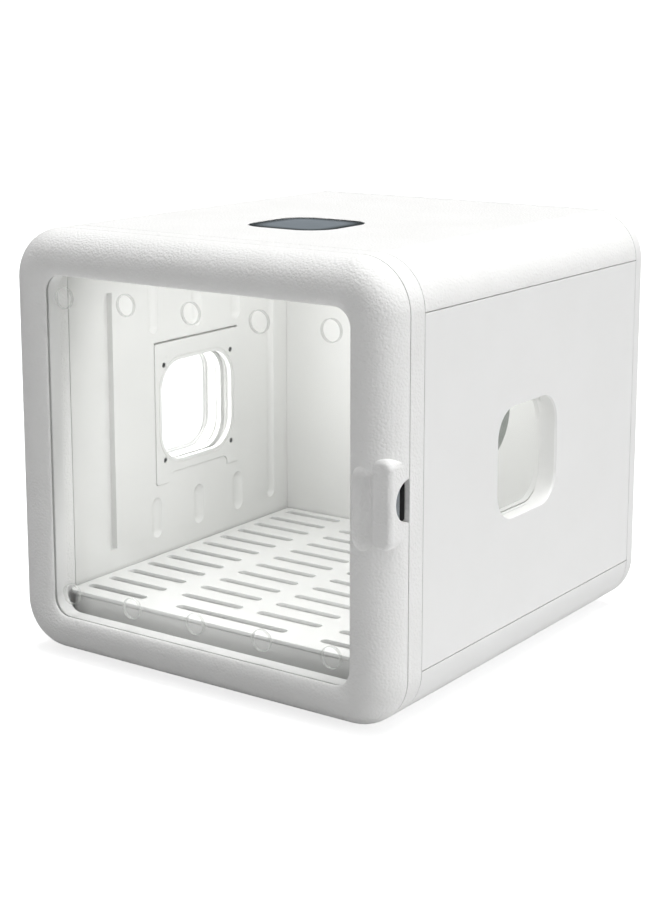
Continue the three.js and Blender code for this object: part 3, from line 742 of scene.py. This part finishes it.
def make_feet():
    for name in ("foot_front_left", "foot_front_right", "foot_rear_left", "foot_rear_right"):
        low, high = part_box(name)
        across = ((low.x + high.x) / 2, (low.y + high.y) / 2)
        foot = rod("Z", (high.x - low.x) / 2, low.z, high.z, across, 48, 1.2 * MM)
        carve(foot, [rod("Z", 5 * MM, low.z - 1 * MM, low.z + 2 * MM, across, 32, 0)])
        soften(foot, 0.4 * MM, 2, 50)
        place_piece(foot, "ribbed_" + name, "case", "rubber", RUBBER, name)


def screw(axis, sign, face, across, radius, head):
    """A pan-head screw with a cross recess. Its head rises towards sign along the axis."""
    low, high = sorted((face, face - sign * head))
    piece = rod(axis, radius, low, high, across, 32, head * 0.4)
    deep_low, deep_high = sorted((face - sign * head * 0.6, face + sign * 1 * MM))
    first, second = across
    arm, half = radius * 0.6, radius * 0.14
    bars = [
        slab(axis, deep_low, deep_high, (first - arm, first + arm, second - half, second + half),
             half * 0.9, half * 0.1, 2, 1),
        slab(axis, deep_low, deep_high, (first - half, first + half, second - arm, second + arm),
             half * 0.9, half * 0.1, 2, 1),
    ]
    for bar in bars:
        carve(piece, [bar])
    return piece


def make_screws():
    low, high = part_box("rear_screw_1")
    across = ((low.x + high.x) / 2, (low.z + high.z) / 2)
    first = screw("Y", 1, BACK, across, (high.x - low.x) / 2, 1.4 * MM)
    for i in range(1, 5):
        low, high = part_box(f"rear_screw_{i}")
        move = ((low.x + high.x) / 2 - across[0], 0, (low.z + high.z) / 2 - across[1])
        twin = copied(first, move)
        place_piece(twin, f"cross_rear_screw_{i}", "case", "steel", STEEL, f"rear_screw_{i}")
    bpy.data.objects.remove(first, do_unlink=True)
    low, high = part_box("window_screw_right_1")
    across = ((low.y + high.y) / 2, (low.z + high.z) / 2)
    right = screw("X", -1, low.x, across, (high.y - low.y) / 2, 1.3 * MM)
    left = mirrored(right)
    for side, model in (("right", right), ("left", left)):
        for i in range(1, 5):
            name = f"window_screw_{side}_{i}"
            low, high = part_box(name)
            move = (0, (low.y + high.y) / 2 - across[0], (low.z + high.z) / 2 - across[1])
            place_piece(copied(model, move), "cross_" + name, "case", "steel", DARK_STEEL, name)
        bpy.data.objects.remove(model, do_unlink=True)


# Cabin -----------------------------------------------------------------------------------------------

GROOVE_DEPTH = 5 * MM
WAVY_DEPTH = 6.8 * MM
LINER_HOLE = (-51 * MM, 62 * MM, 161 * MM, 272 * MM)
FRAME_HOLE = (-51 * MM, 70 * MM, 160.5 * MM, 271.5 * MM)
FRAME_SEAT = (-60.5 * MM, 83 * MM, 148 * MM, 293 * MM)
FOOT_DROP = 10.5 * MM
GROOVES = [
    (137, 152, 80, 358),
    (-70, -53, 305, 376),
    (3, 20, 303, 376),
    (72, 90, 302, 376),
    (-69, -52, 79, 124),
    (3, 20, 79, 124),
    (73, 91, 79, 124),
]
WAVY_GROOVE = {"front": -139, "rear": -126, "low": 83, "high": 358, "waves": 7, "swing": 4}


def groove_tool(front, rear, low, high):
    """Sunk so that it leaves a shallow trough with rounded ends."""
    half = (rear - front) / 2
    radius = (half**2 + GROOVE_DEPTH**2) / (2 * GROOVE_DEPTH)
    across = (CABIN_SIDE + GROOVE_DEPTH - radius, (front + rear) / 2)
    return upright_capsule(radius, across, low + half, high - half)


def wavy_tool():
    """A trough with a waved front edge and a straight rear edge."""
    front, rear = WAVY_GROOVE["front"] * MM, WAVY_GROOVE["rear"] * MM
    low, high = WAVY_GROOVE["low"] * MM, WAVY_GROOVE["high"] * MM
    cuts = WAVY_GROOVE["waves"] * 8
    deselect()
    bpy.ops.mesh.primitive_plane_add(
        size=1, location=(CABIN_SIDE - 2 * MM, (front + rear) / 2, (low + high) / 2),
        rotation=TURNED["X"],
    )
    tool = bpy.context.object
    bpy.ops.object.transform_apply(location=True, rotation=True, scale=True)
    edit(tool)
    bpy.ops.mesh.select_all(action="SELECT")
    bpy.ops.transform.resize(
        value=(1, rear - front, high - low),
        center_override=(CABIN_SIDE, (front + rear) / 2, (low + high) / 2),
    )
    shape = bmesh.from_edit_mesh(tool.data)
    bpy.ops.mesh.select_mode(type="EDGE")
    bpy.ops.mesh.select_all(action="DESELECT")
    for side in shape.edges:
        side.select = abs(side.verts[0].co.z - side.verts[1].co.z) > (high - low) / 2
    bpy.ops.mesh.subdivide(number_cuts=cuts)
    bpy.ops.mesh.select_mode(type="VERT")
    for i in range(cuts + 2):
        height = low + (high - low) * i / (cuts + 1)
        share = (high - height) / (high - low)
        wave = math.cos(share * WAVY_GROOVE["waves"] * math.tau) * WAVY_GROOVE["swing"] * MM
        shape = bmesh.from_edit_mesh(tool.data)
        bpy.ops.mesh.select_all(action="DESELECT")
        for vert in shape.verts:
            near = abs(vert.co.z - height) < 0.5 * MM
            vert.select = near and vert.co.y < (front + rear) / 2
        bpy.ops.transform.translate(value=(0, wave, 0))
    bpy.ops.mesh.select_all(action="SELECT")
    bpy.ops.mesh.extrude_region_move(
        TRANSFORM_OT_translate={"value": (2 * MM + WAVY_DEPTH, 0, 0)}
    )
    return leave(tool)


def window_plate_outline(low, high, grow, foot_round):
    """The plate round a window: a rounded rectangle with a foot at each lower corner."""
    y0, y1, z0, z1 = grown(FRAME_SEAT, grow)
    plate = slab("X", low, high, (y0, y1, z0 - FOOT_DROP, z1), 3 * MM, 0.05 * MM, 4, 1)
    gap = (y0 + 21 * MM + grow, y1 - 21 * MM - grow, z0 - 3 * FOOT_DROP, z0)
    between_feet = slab("X", low - 1 * MM, high + 1 * MM, gap, 8 * MM, 0.05 * MM, 6, 1)
    carve(plate, [between_feet])
    edit(plate)
    bpy.ops.mesh.select_mode(type="EDGE")
    shape = bmesh.from_edit_mesh(plate.data)
    bpy.ops.mesh.select_all(action="DESELECT")
    for side in shape.edges:
        middle = (side.verts[0].co + side.verts[1].co) / 2
        along = abs(side.verts[0].co.x - side.verts[1].co.x) > (high - low) * 0.8
        at_toe = abs(middle.z - (z0 - FOOT_DROP)) < 0.3 * MM
        side.select = along and at_toe and y0 + 10 * MM < middle.y < y1 - 10 * MM
    bpy.ops.mesh.bevel(offset=foot_round, segments=5, affect="EDGES", profile=0.5)
    bpy.ops.mesh.select_mode(type="VERT")
    return leave(plate)


def make_liners():
    inner, outer = CABIN_SIDE, CABIN_SIDE + 8 * MM
    wall_rect = (SHELL_FRONT, CABIN_REAR - 0.3 * MM, CABIN_FLOOR, CABIN_TOP)
    wall = slab("X", inner, outer, wall_rect, 1 * MM, 0.3 * MM, 2, 1)
    backing = slab("X", outer - 1 * MM, outer + 4 * MM, (-72 * MM, 94 * MM, 130 * MM, 300 * MM),
                   4 * MM, 0.5 * MM, 4, 1)
    carve(wall, [backing], "UNION")
    sleeve = slab("X", outer + 2 * MM, LINER_BACK, grown(WINDOW_HOLE, 6 * MM),
                  WINDOW_CORNER + 6 * MM, 0.3 * MM, 10, 1)
    carve(wall, [sleeve], "UNION")
    for front, rear, low, high in GROOVES:
        carve(wall, [groove_tool(front * MM, rear * MM, low * MM, high * MM)])
    carve(wall, [wavy_tool()])
    seat = window_plate_outline(inner - 1 * MM, inner + 5 * MM, 0.6 * MM, 5 * MM)
    carve(wall, [seat])
    y0, y1, _, top = FRAME_SEAT
    top_gap = slab("X", inner - 1 * MM, inner + 4.8 * MM, (y0 - 0.4 * MM, y1 + 0.4 * MM, top - 1 * MM,
                   top + 2.1 * MM), 0.8 * MM, 0.05 * MM, 3, 1)
    carve(wall, [top_gap])
    pane_seat = slab("X", inner + 4 * MM, inner + 8 * MM, grown(LINER_HOLE, 5 * MM), 35 * MM,
                     0.05 * MM, 10, 1)
    carve(wall, [pane_seat])
    hole = slab("X", inner + 3 * MM, inner + 14 * MM, LINER_HOLE, 30 * MM, 0.05 * MM, 10, 1)
    carve(wall, [hole])
    flared = slab("X", inner + 12 * MM, LINER_BACK + 1 * MM, grown(WINDOW_HOLE, 3 * MM),
                  WINDOW_CORNER + 3 * MM, 0.05 * MM, 10, 1)
    carve(wall, [flared])
    soften(wall, 0.9 * MM, 3, 25)
    left = mirrored(wall)
    place_piece(wall, "pressed_liner_right", "case", "cabin_lining", LINING, "liner_right")
    place_piece(left, "pressed_liner_left", "case", "cabin_lining", LINING, "liner_left")


def make_window_frames():
    low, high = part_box("window_frame_right")
    plate = window_plate_outline(low.x, high.x, 0, 5 * MM)
    carve(plate, [slab("X", low.x - 1 * MM, high.x + 1 * MM, FRAME_HOLE, 33 * MM, 0.05 * MM, 12, 1)])
    groove = slab("X", low.x - 1 * MM, low.x + 0.7 * MM, grown(FRAME_HOLE, 4.4 * MM), 37 * MM,
                  0.05 * MM, 12, 1)
    lip = slab("X", low.x - 2 * MM, low.x + 2 * MM, grown(FRAME_HOLE, 3.4 * MM), 36 * MM,
               0.05 * MM, 12, 1)
    carve(groove, [lip])
    carve(plate, [groove])
    for i in range(1, 5):
        screw_low, screw_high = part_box(f"window_screw_right_{i}")
        across = ((screw_low.y + screw_high.y) / 2, (screw_low.z + screw_high.z) / 2)
        carve(plate, [rod("X", 3.1 * MM, low.x - 1 * MM, low.x + 2.2 * MM, across, 24, 0)])
    soften(plate, 0.6 * MM, 2, 40)
    left = mirrored(plate)
    place_piece(plate, "plate_window_right", "case", "cabin_lining", LINING, "window_frame_right")
    place_piece(left, "plate_window_left", "case", "cabin_lining", LINING, "window_frame_left")


def make_window_panes():
    low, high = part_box("window_pane_right")
    pane = slab("X", low.x, high.x, (low.y, high.y, low.z, high.z), 34 * MM, 0.3 * MM, 12)
    left = mirrored(pane)
    place_piece(pane, "clear_window_right", "case", "clear_acrylic", WINDOW_SHEET, "window_pane_right")
    place_piece(left, "clear_window_left", "case", "clear_acrylic", WINDOW_SHEET, "window_pane_left")


def make_back_and_ceiling():
    low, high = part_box("liner_back")
    plate = slab("Y", low.y, high.y, (low.x, high.x, low.z, high.z), 1 * MM, 0.3 * MM, 2, 1)
    grille_low, grille_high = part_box("outlet_grille")
    across = (0, (grille_low.z + grille_high.z) / 2)
    radius = (grille_high.x - grille_low.x) / 2 - 7 * MM
    carve(plate, [rod("Y", radius, low.y - 1 * MM, high.y + 1 * MM, across, 96, 0)])
    soften(plate, 0.8 * MM, 3, 40)
    place_piece(plate, "pressed_liner_back", "case", "cabin_lining", LINING, "liner_back")
    for name in ("liner_ceiling", "floor_pan"):
        low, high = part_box(name)
        sheet = slab("Z", low.z, high.z, (low.x, high.x, low.y, high.y), 2 * MM, 0.4 * MM, 3, 1)
        place_piece(sheet, "pressed_" + name, "case", "cabin_lining", LINING, name)


def make_outlet_grille():
    low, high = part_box("outlet_grille")
    middle = (low.z + high.z) / 2
    disc = rod("Y", (high.x - low.x) / 2, low.y, high.y, (0, middle), 96, 0.5 * MM)
    tools = []
    for count, near, far, width in ((24, 62, 92, 3.2), (16, 28, 56, 3.2)):
        for i in range(count):
            rect = (near * MM, far * MM, middle - width * MM, middle + width * MM)
            slot = slab("Y", low.y - 1 * MM, high.y + 1 * MM, rect, width * 0.95 * MM, 0.05 * MM, 4, 1)
            tools.append(turned_about_y(slot, math.tau * i / count, (0, 0, middle)))
    carve(disc, tools)
    soften(disc, 0.4 * MM, 2, 50, 0.01 * MM)
    place_piece(disc, "slotted_outlet_grille", "case", "outlet_grey", OUTLET, "outlet_grille")


# Floor -----------------------------------------------------------------------------------------------

SLOT_COLUMNS = (-147.5, -48.5, 48.5, 147.5)
SLOT_LENGTH, SLOT_WIDTH, SLOT_PITCH = 76.5, 10, 31.2
SLOT_ROWS, FIRST_ROW = 12, -182
LONG_SLOT = 68


def slot_tool(low, high, x0, x1, y):
    half = SLOT_WIDTH / 2
    rect = (x0 * MM, x1 * MM, (y - half) * MM, (y + half) * MM)
    return slab("Z", low, high, rect, half * 0.98 * MM, 0.05 * MM, 8, 1)


def make_floor_grille():
    low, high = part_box("floor_grille")
    rect = (low.x, high.x, low.y, high.y)
    floor = slab("Z", low.z, high.z, rect, 8 * MM, 0.9 * MM, 6, 3)
    tools = []
    cut_low, cut_high = low.z - 1 * MM, high.z + 1 * MM
    for row in range(SLOT_ROWS):
        y = FIRST_ROW + row * SLOT_PITCH
        columns = SLOT_COLUMNS if row else (SLOT_COLUMNS[0], SLOT_COLUMNS[-1])
        for x in columns:
            tools.append(slot_tool(cut_low, cut_high, x - SLOT_LENGTH / 2, x + SLOT_LENGTH / 2, y))
        if row == 0:
            tools.append(slot_tool(cut_low, cut_high, -LONG_SLOT, LONG_SLOT, y))
    carve(floor, tools)
    soften(floor, 0.7 * MM, 2, 50)
    place_piece(floor, "slatted_floor", "slat_floor", "tray_white", TRAY, "floor_grille")


def make_drip_tray():
    low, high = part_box("drip_tray")
    rect = (low.x, high.x, low.y, high.y)
    wall, corner = 2.2 * MM, 12 * MM
    sections = [
        (low.z, grown(rect, -2.5 * MM), corner - 2.5 * MM),
        (low.z + 0.7 * MM, grown(rect, -0.8 * MM), corner - 0.8 * MM),
        (low.z + 2.5 * MM, rect, corner),
        (high.z - 0.6 * MM, rect, corner),
        (high.z, grown(rect, -0.6 * MM), corner - 0.6 * MM),
        (high.z, grown(rect, 0.5 * MM - wall), corner - wall + 0.5 * MM),
        (high.z - 0.6 * MM, grown(rect, -wall), corner - wall),
        (low.z + wall + 3 * MM, grown(rect, -wall), corner - wall),
        (low.z + wall + 0.9 * MM, grown(rect, -wall - 1 * MM), corner - wall - 1 * MM),
        (low.z + wall, grown(rect, -wall - 3 * MM), corner - wall - 3 * MM),
    ]
    tray = loft("Z", sections, 8)
    place_piece(tray, "drip_tray_bowl", "case", "tray_white", TRAY, "drip_tray")


# Door ------------------------------------------------------------------------------------------------

CREST = 28 * MM
GRIP_HEIGHT = 222 * MM
GRIP_HALF, GRIP_DEPTH, GRIP_FLOOR = 20 * MM, 22 * MM, 206 * MM
SCOOP_RADIUS, SCOOP_DEPTH, SCOOP_SIDE = 15 * MM, 7 * MM, 196.5 * MM
VENT_RADIUS = 10.4 * MM


def recess_tool(grow, x0, x1):
    """The half-moon finger recess, open to the side and to the rear."""
    deselect()
    centre = ((x0 + x1) / 2, DOOR_REAR + 1 * MM, GRIP_HEIGHT)
    bpy.ops.mesh.primitive_cylinder_add(
        vertices=64, radius=1, depth=x1 - x0, location=centre, rotation=TURNED["X"]
    )
    tool = bpy.context.object
    bpy.ops.object.transform_apply(location=True, rotation=True, scale=True)
    edit(tool)
    bpy.ops.mesh.select_all(action="SELECT")
    bpy.ops.transform.resize(value=(1, GRIP_DEPTH + grow, GRIP_HALF + grow), center_override=centre)
    return leave(tool)


def make_door_frame():
    crest_rect, crest_corner = case_rect(CREST), CASE_CORNER - CREST
    pane_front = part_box("door_pane")[0].y - 0.3 * MM
    sections = []
    for share in (0, 0.5, 1):
        turn = math.pi / 2 * share
        inset, lift = SEAM_EDGE * (1 - math.sin(turn)), SEAM_EDGE * (1 - math.cos(turn))
        sections.append((DOOR_REAR - lift, case_rect(inset), CASE_CORNER - inset))
    for i in range(11):
        turn = math.pi / 2 * i / 10
        inset, lift = CREST * (1 - math.cos(turn)), CREST * (1 - math.sin(turn))
        sections.append((FRONT + lift, case_rect(inset), CASE_CORNER - inset))
    for i in range(1, 11):
        turn = math.pi / 2 * i / 10
        across, sink = math.sin(turn), 1 - math.cos(turn)
        sections.append(
            (
                FRONT + (pane_front - 0.6 * MM - FRONT) * sink,
                between(crest_rect, DOOR_OPENING, across),
                crest_corner + (OPENING_CORNER - crest_corner) * across,
            )
        )
    sections += [
        (pane_front, DOOR_OPENING, OPENING_CORNER),
        (pane_front, grown(DOOR_OPENING, 5.5 * MM), OPENING_CORNER + 5.5 * MM),
        (DOOR_REAR, grown(DOOR_OPENING, 5.5 * MM), OPENING_CORNER + 5.5 * MM),
        (DOOR_REAR, grown(DOOR_OPENING, 8 * MM), OPENING_CORNER + 8 * MM),
        (DOOR_REAR - 13 * MM, grown(DOOR_OPENING, 8 * MM), OPENING_CORNER + 8 * MM),
        (DOOR_REAR - 13 * MM, case_rect(5.5 * MM), CASE_CORNER - 5.5 * MM),
        (DOOR_REAR, case_rect(5.5 * MM), CASE_CORNER - 5.5 * MM),
    ]
    door = loft("Y", sections, 12, ring=True)

    scoop = (SCOOP_RADIUS, (SCOOP_SIDE, FRONT - SCOOP_RADIUS + SCOOP_DEPTH))
    carve(door, [upright_capsule(*scoop, GRIP_HEIGHT - 31 * MM, GRIP_HEIGHT + 20 * MM)])
    boss_rect = (204 * MM, SIDE - 0.05 * MM, GRIP_HEIGHT - 41 * MM, GRIP_HEIGHT + 41 * MM)
    boss = slab("Y", FRONT + 1.2 * MM, DOOR_REAR - 1 * MM, boss_rect, 9 * MM, 5 * MM, 8, 6)
    carve(door, [boss], "UNION")
    seat_rear = DOOR_REAR - 0.25 * MM
    seats = [
        slab("Y", DOOR_REAR - 26 * MM, seat_rear,
             (GRIP_FLOOR - 3 * MM, SIDE - 3 * MM, GRIP_HEIGHT - 26 * MM, GRIP_HEIGHT + 26 * MM),
             2 * MM, 0.05 * MM, 3, 1),
    ]
    low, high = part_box("door_magnet")
    seats.append(
        slab("Y", DOOR_REAR - 14 * MM, seat_rear,
             (low.x - 5 * MM, SIDE - 3 * MM, low.z - 4 * MM, high.z + 4 * MM), 2 * MM, 0.05 * MM, 3, 1)
    )
    for which in ("lower", "upper"):
        low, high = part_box(f"hinge_{which}_door_leaf")
        bottom, top = hinge_span(which)
        rect = (-SIDE + 3 * MM, high.x + 2.8 * MM, bottom - 4 * MM, top + 4 * MM)
        seats.append(slab("Y", DOOR_REAR - 14 * MM, seat_rear, rect, 2 * MM, 0.05 * MM, 3, 1))
    for seat in seats:
        carve(door, [seat], "UNION")
    carve(door, [recess_tool(0, GRIP_FLOOR, SIDE + 2 * MM)])
    tools = [magnet_pocket()]
    for which in ("lower", "upper"):
        tools.append(leaf_pocket(f"hinge_{which}_door_leaf", DOOR_REAR - 2.6 * MM, DOOR_REAR + 1 * MM))
    carve(door, tools)
    carve(door, hinge_notches())
    soften(door, 0.8 * MM, 3, 40)
    place_piece(door, "moulded_door_frame", "door", "grained_white", GRAINED, "door_frame")


def magnet_pocket():
    low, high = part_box("door_magnet")
    rect = grown((low.x, high.x, low.z, high.z), 0.3 * MM)
    return slab("Y", low.y - 0.4 * MM, high.y + 1 * MM, rect, 0.8 * MM, 0.1 * MM, 3, 1)


def vent_places():
    return [(x * MM, z * MM) for x in (-159, -79.6, 0, 79.6, 159) for z in (69.5, 370)]


def make_door_pane():
    low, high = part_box("door_pane")
    rect = (low.x, high.x, low.z, high.z)
    pane = slab("Y", low.y, high.y, rect, OPENING_CORNER + 5 * MM, 0.3 * MM, 12)
    carve(pane, [rod("Y", VENT_RADIUS, low.y - 1 * MM, high.y + 1 * MM, place, 64, 0)
                 for place in vent_places()])
    soften(pane, 0.4 * MM, 2, 50)
    place_piece(pane, "clear_door_pane", "door", "clear_acrylic", DOOR_SHEET, "door_pane")


def make_vent_edges():
    """The polished wall of each vent, a ring a little wider than the hole in a paler, more opaque sheet than the
    pane: painted highlight for the glint at the cut edge.
    """
    low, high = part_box("door_pane")
    edges = []
    for place in vent_places():
        edge = rod("Y", VENT_RADIUS + 0.5 * MM, low.y - 0.15 * MM, high.y + 0.15 * MM, place, 64, 0)
        edges.append(carve(edge, [rod("Y", VENT_RADIUS - 0.35 * MM, low.y - 1 * MM, high.y + 1 * MM, place, 64, 0)]))
    edges = joined(edges)
    place_piece(edges, "vent_edges_painted_highlight", "door", "clear_acrylic", VENT_EDGE_HIGHLIGHT)


def make_pane_bead():
    low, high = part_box("pane_bead")
    bead = band("Y", low.y, high.y, (low.x, high.x, low.z, high.z), OPENING_CORNER + 5 * MM,
                grown(DOOR_OPENING, 0.6 * MM), OPENING_CORNER + 0.6 * MM, 0.8 * MM, 12)
    place_piece(bead, "pane_bead_strip", "door", "smooth_white", FINE, "pane_bead")


def make_door_seal():
    low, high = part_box("door_seal")
    seal = band("Y", low.y, high.y, (low.x, high.x, low.z, high.z), OPENING_CORNER + 20.5 * MM,
                grown(DOOR_OPENING, 17.5 * MM), OPENING_CORNER + 17.5 * MM, 1.2 * MM, 12)
    place_piece(seal, "door_seal_cord", "door", "rubber", RUBBER, "door_seal")


def make_grip_pad():
    low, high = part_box("grip_pad")
    pad = recess_tool(-0.4 * MM, low.x, SIDE - 0.8 * MM)
    kept(pad, (0, -1, 0), (1, high.y, 1))
    soften(pad, 0.6 * MM, 3, 50)
    place_piece(pad, "felt_grip_pad", "door", "dark_pad", PAD, "grip_pad")


def make_painted_shade_strip():
    """A dark rubber strip on the case behind the finger recess: painted shade where the gap behind the pad lies in
    shadow.
    """
    rect = (GRIP_FLOOR, SIDE - 5.5 * MM, GRIP_HEIGHT - GRIP_HALF, GRIP_HEIGHT + GRIP_HALF)
    strip = slab("Y", RING_FRONT - 0.7 * MM, RING_FRONT + 0.2 * MM, rect, 3 * MM, 0.3 * MM, 5)
    place_piece(strip, "painted_shade_strip_behind_recess", "case", "rubber", RUBBER)


def make_magnet_and_strike():
    for name, body in (("door_magnet", "door"), ("strike_plate", "case")):
        low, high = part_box(name)
        plate = slab("Y", low.y, high.y, (low.x, high.x, low.z, high.z), 0.8 * MM, 0.3 * MM, 4)
        place_piece(plate, "plated_" + name, body, "steel", STEEL, name)


def make_hinges():
    """Leaves and knuckles turned round a pin: for each hinge a pin, and a leaf with its knuckle for the door and for
    the case.
    """
    for which in ("lower", "upper"):
        pin_low, pin_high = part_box(f"hinge_{which}_pin")
        across = ((pin_low.x + pin_high.x) / 2, (pin_low.y + pin_high.y) / 2)
        radius = (pin_high.x - pin_low.x) / 2
        pin = rod("Z", radius, pin_low.z, pin_high.z, across, 32, 0.4 * MM)
        place_piece(pin, f"turned_hinge_{which}_pin", "case", "steel", STEEL, f"hinge_{which}_pin")
        for owner, body in (("door", "door"), ("case", "case")):
            name = f"hinge_{which}_{owner}_leaf"
            low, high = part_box(name)
            barrel = rod("Z", across[0] - low.x, low.z, high.z, across, 40, 0.3 * MM)
            flat = (DOOR_REAR - 2.3 * MM, DOOR_REAR - 0.1 * MM)
            if owner == "case":
                flat = (RING_FRONT + 0.1 * MM, RING_FRONT + 2.3 * MM)
            leaf = slab("Y", *flat, (across[0], high.x, low.z + 0.1 * MM, high.z - 0.1 * MM),
                        1.5 * MM, 0.2 * MM, 4, 1)
            carve(barrel, [leaf], "UNION")
            carve(barrel, [rod("Z", radius + 0.15 * MM, low.z - 1 * MM, high.z + 1 * MM, across, 32, 0)])
            place_piece(barrel, "rolled_" + name, body, "steel", STEEL, name)


# Rear unit and controls ------------------------------------------------------------------------------


def make_filter_cover():
    low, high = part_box("filter_cover")
    plate = slab("Y", low.y, high.y, (low.x, high.x, low.z, high.z), 5 * MM, 1 * MM, 6, 3)
    middle = (low.z + high.z) / 2
    tools = []
    for i in range(9):
        z = middle + (i - 4) * 17 * MM
        for x0, x1 in ((-76 * MM, -3 * MM), (3 * MM, 76 * MM)):
            tools.append(slab("Y", low.y - 1 * MM, high.y + 1 * MM, (x0, x1, z - 4 * MM, z + 4 * MM),
                              3.9 * MM, 0.05 * MM, 6, 1))
    carve(plate, tools)
    soften(plate, 0.6 * MM, 2, 50)
    place_piece(plate, "louvred_filter_cover", "filter", "smooth_white", FINE, "filter_cover")


def make_power_inlet():
    low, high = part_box("power_inlet")
    flange = slab("Y", BACK - 3 * MM, BACK, (low.x, high.x, low.z, high.z), 2.5 * MM, 0.6 * MM, 4)
    shell = (low.x + 8 * MM, high.x - 8 * MM, low.z + 2 * MM, high.z - 2 * MM)
    body = slab("Y", low.y, BACK - 2 * MM, shell, 2 * MM, 0.4 * MM, 4, 1)
    carve(flange, [body], "UNION")
    mouth = (low.x + 12 * MM, high.x - 12 * MM, low.z + 5 * MM, high.z - 5 * MM)
    carve(flange, [slab("Y", BACK - 18 * MM, BACK + 1 * MM, mouth, 3.5 * MM, 0.05 * MM, 4, 1)])
    soften(flange, 0.4 * MM, 2, 50)
    centre = (low.x + high.x) / 2
    middle = (low.z + high.z) / 2
    pins = []
    for x, z in ((-7, -1.5), (0, 2.5), (7, -1.5)):
        rect = (centre + (x - 1) * MM, centre + (x + 1) * MM, middle + (z - 2) * MM, middle + (z + 2) * MM)
        pins.append(slab("Y", BACK - 18.5 * MM, BACK - 4 * MM, rect, 0.4 * MM, 0.3 * MM, 2))
    place_piece(flange, "socket_power_inlet", "case", "black_plastic", BLACK, "power_inlet")
    place_piece(joined(pins), "power_inlet_pins", "case", "steel", STEEL)


def make_air_filter():
    low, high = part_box("air_filter")
    mat = slab("Y", low.y, high.y, (low.x, high.x, low.z, high.z), 3 * MM, 0.8 * MM, 4)
    place_piece(mat, "foam_air_filter", "filter", "filter_foam", FOAM, "air_filter")


def make_control_glass():
    low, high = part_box("control_glass")
    glass = slab("Z", low.z, high.z, (low.x, high.x, low.y, high.y), PANEL_CORNER, 0.6 * MM, 16, 3)
    place_piece(glass, "touch_control_glass", "case", "dark_glass", PANEL, "control_glass")


# Camera, light and floor -----------------------------------------------------------------------------


def set_camera():
    yaw, pitch = math.radians(35.154), math.radians(10.867)
    back = Vector(
        (math.sin(yaw) * math.cos(pitch), -math.cos(yaw) * math.cos(pitch), math.sin(pitch))
    )
    data = bpy.data.cameras.new("camera")
    data.lens = 72.617
    data.shift_y = -0.1
    camera = bpy.data.objects.new("camera", data)
    bpy.context.scene.collection.objects.link(camera)
    camera.location = (1.05788, -1.51518, 0.64372)
    camera.rotation_mode = "QUATERNION"
    camera.rotation_quaternion = (-back).to_track_quat("-Z", "Y")
    bpy.context.scene.camera = camera


def hang_lamp(lamp, place, towards):
    holder = bpy.data.objects.new(lamp.name, lamp)
    bpy.context.scene.collection.objects.link(holder)
    holder.location = place
    holder.rotation_mode = "QUATERNION"
    holder.rotation_quaternion = Vector(towards).to_track_quat("-Z", "Y")
    return holder


def set_light():
    world = bpy.data.worlds.new("studio")
    bpy.context.scene.world = world
    world.use_nodes = True
    nodes, links = world.node_tree.nodes, world.node_tree.links
    fill = nodes["Background"]
    fill.inputs["Color"].default_value = (1, 1, 1, 1)
    fill.inputs["Strength"].default_value = 0.03
    seen = nodes.new("ShaderNodeBackground")
    seen.inputs["Color"].default_value = (1, 1, 1, 1)
    seen.inputs["Strength"].default_value = 1.08
    path = nodes.new("ShaderNodeLightPath")
    mix = nodes.new("ShaderNodeMixShader")
    links.new(path.outputs["Is Camera Ray"], mix.inputs["Fac"])
    links.new(fill.outputs["Background"], mix.inputs[1])
    links.new(seen.outputs["Background"], mix.inputs[2])
    links.new(mix.outputs["Shader"], nodes["World Output"].inputs["Surface"])
    for name, towards, spread, strength in (
        ("overhead", (-0.15, -0.1, -1), 40, 3.25),
        ("overhead_front", (-0.1, 0.6, -1), 40, 0.5),
        ("right_side", (-1, -0.2, -0.18), 30, 1.05),
    ):
        lamp = bpy.data.lights.new(name, "SUN")
        lamp.angle = math.radians(spread)
        lamp.energy = strength
        hang_lamp(lamp, -2 * Vector(towards), towards)
    for name, place, towards, size, strength in (
        ("left_window", (-SIDE + 0.004, 0, 0.219), (1, 0, 0), 0.11, 0.17),
        ("cabin_top", (0, 0.02, 0.395), (0, 0, -1), 0.30, 0.36),
        ("cabin_front", (0.02, -0.197, 0.24), (-0.1, 1, -0.25), 0.32, 0.40),
    ):
        lamp = bpy.data.lights.new(name, "AREA")
        lamp.shape = "SQUARE"
        lamp.size = size
        lamp.energy = strength
        hang_lamp(lamp, place, towards).visible_camera = False
    bpy.context.scene.view_settings.view_transform = "Standard"


def lay_floor():
    deselect()
    bpy.ops.mesh.primitive_plane_add(size=40, location=(0, 0, 0))
    floor = bpy.context.object
    floor.name = "floor"
    finish = Finish("pale_floor", (0.6, 0.6, 0.6), 0.9, Emission_Color=(1, 1, 1, 1))
    clouded(finish, (0.595, 0.595, 0.595), (0.605, 0.605, 0.605), 500 * MM)
    path = finish.nodes.new("ShaderNodeLightPath")
    seen = finish.maths("MULTIPLY", path.outputs["Is Camera Ray"], 0.8)
    finish.links.new(seen, finish.shader.inputs["Emission Strength"])
    floor.data.materials.append(finish.material)


set_camera()
set_light()
lay_floor()
dress_cad_parts()
make_front_ring()
make_shells()
make_rear_cover()
make_feet()
make_screws()
make_liners()
make_window_frames()
make_window_panes()
make_back_and_ceiling()
make_outlet_grille()
make_floor_grille()
make_drip_tray()
make_door_frame()
make_door_pane()
make_vent_edges()
make_pane_bead()
make_door_seal()
make_grip_pad()
make_painted_shade_strip()
make_magnet_and_strike()
make_hinges()
make_filter_cover()
make_power_inlet()
make_air_filter()
make_control_glass()
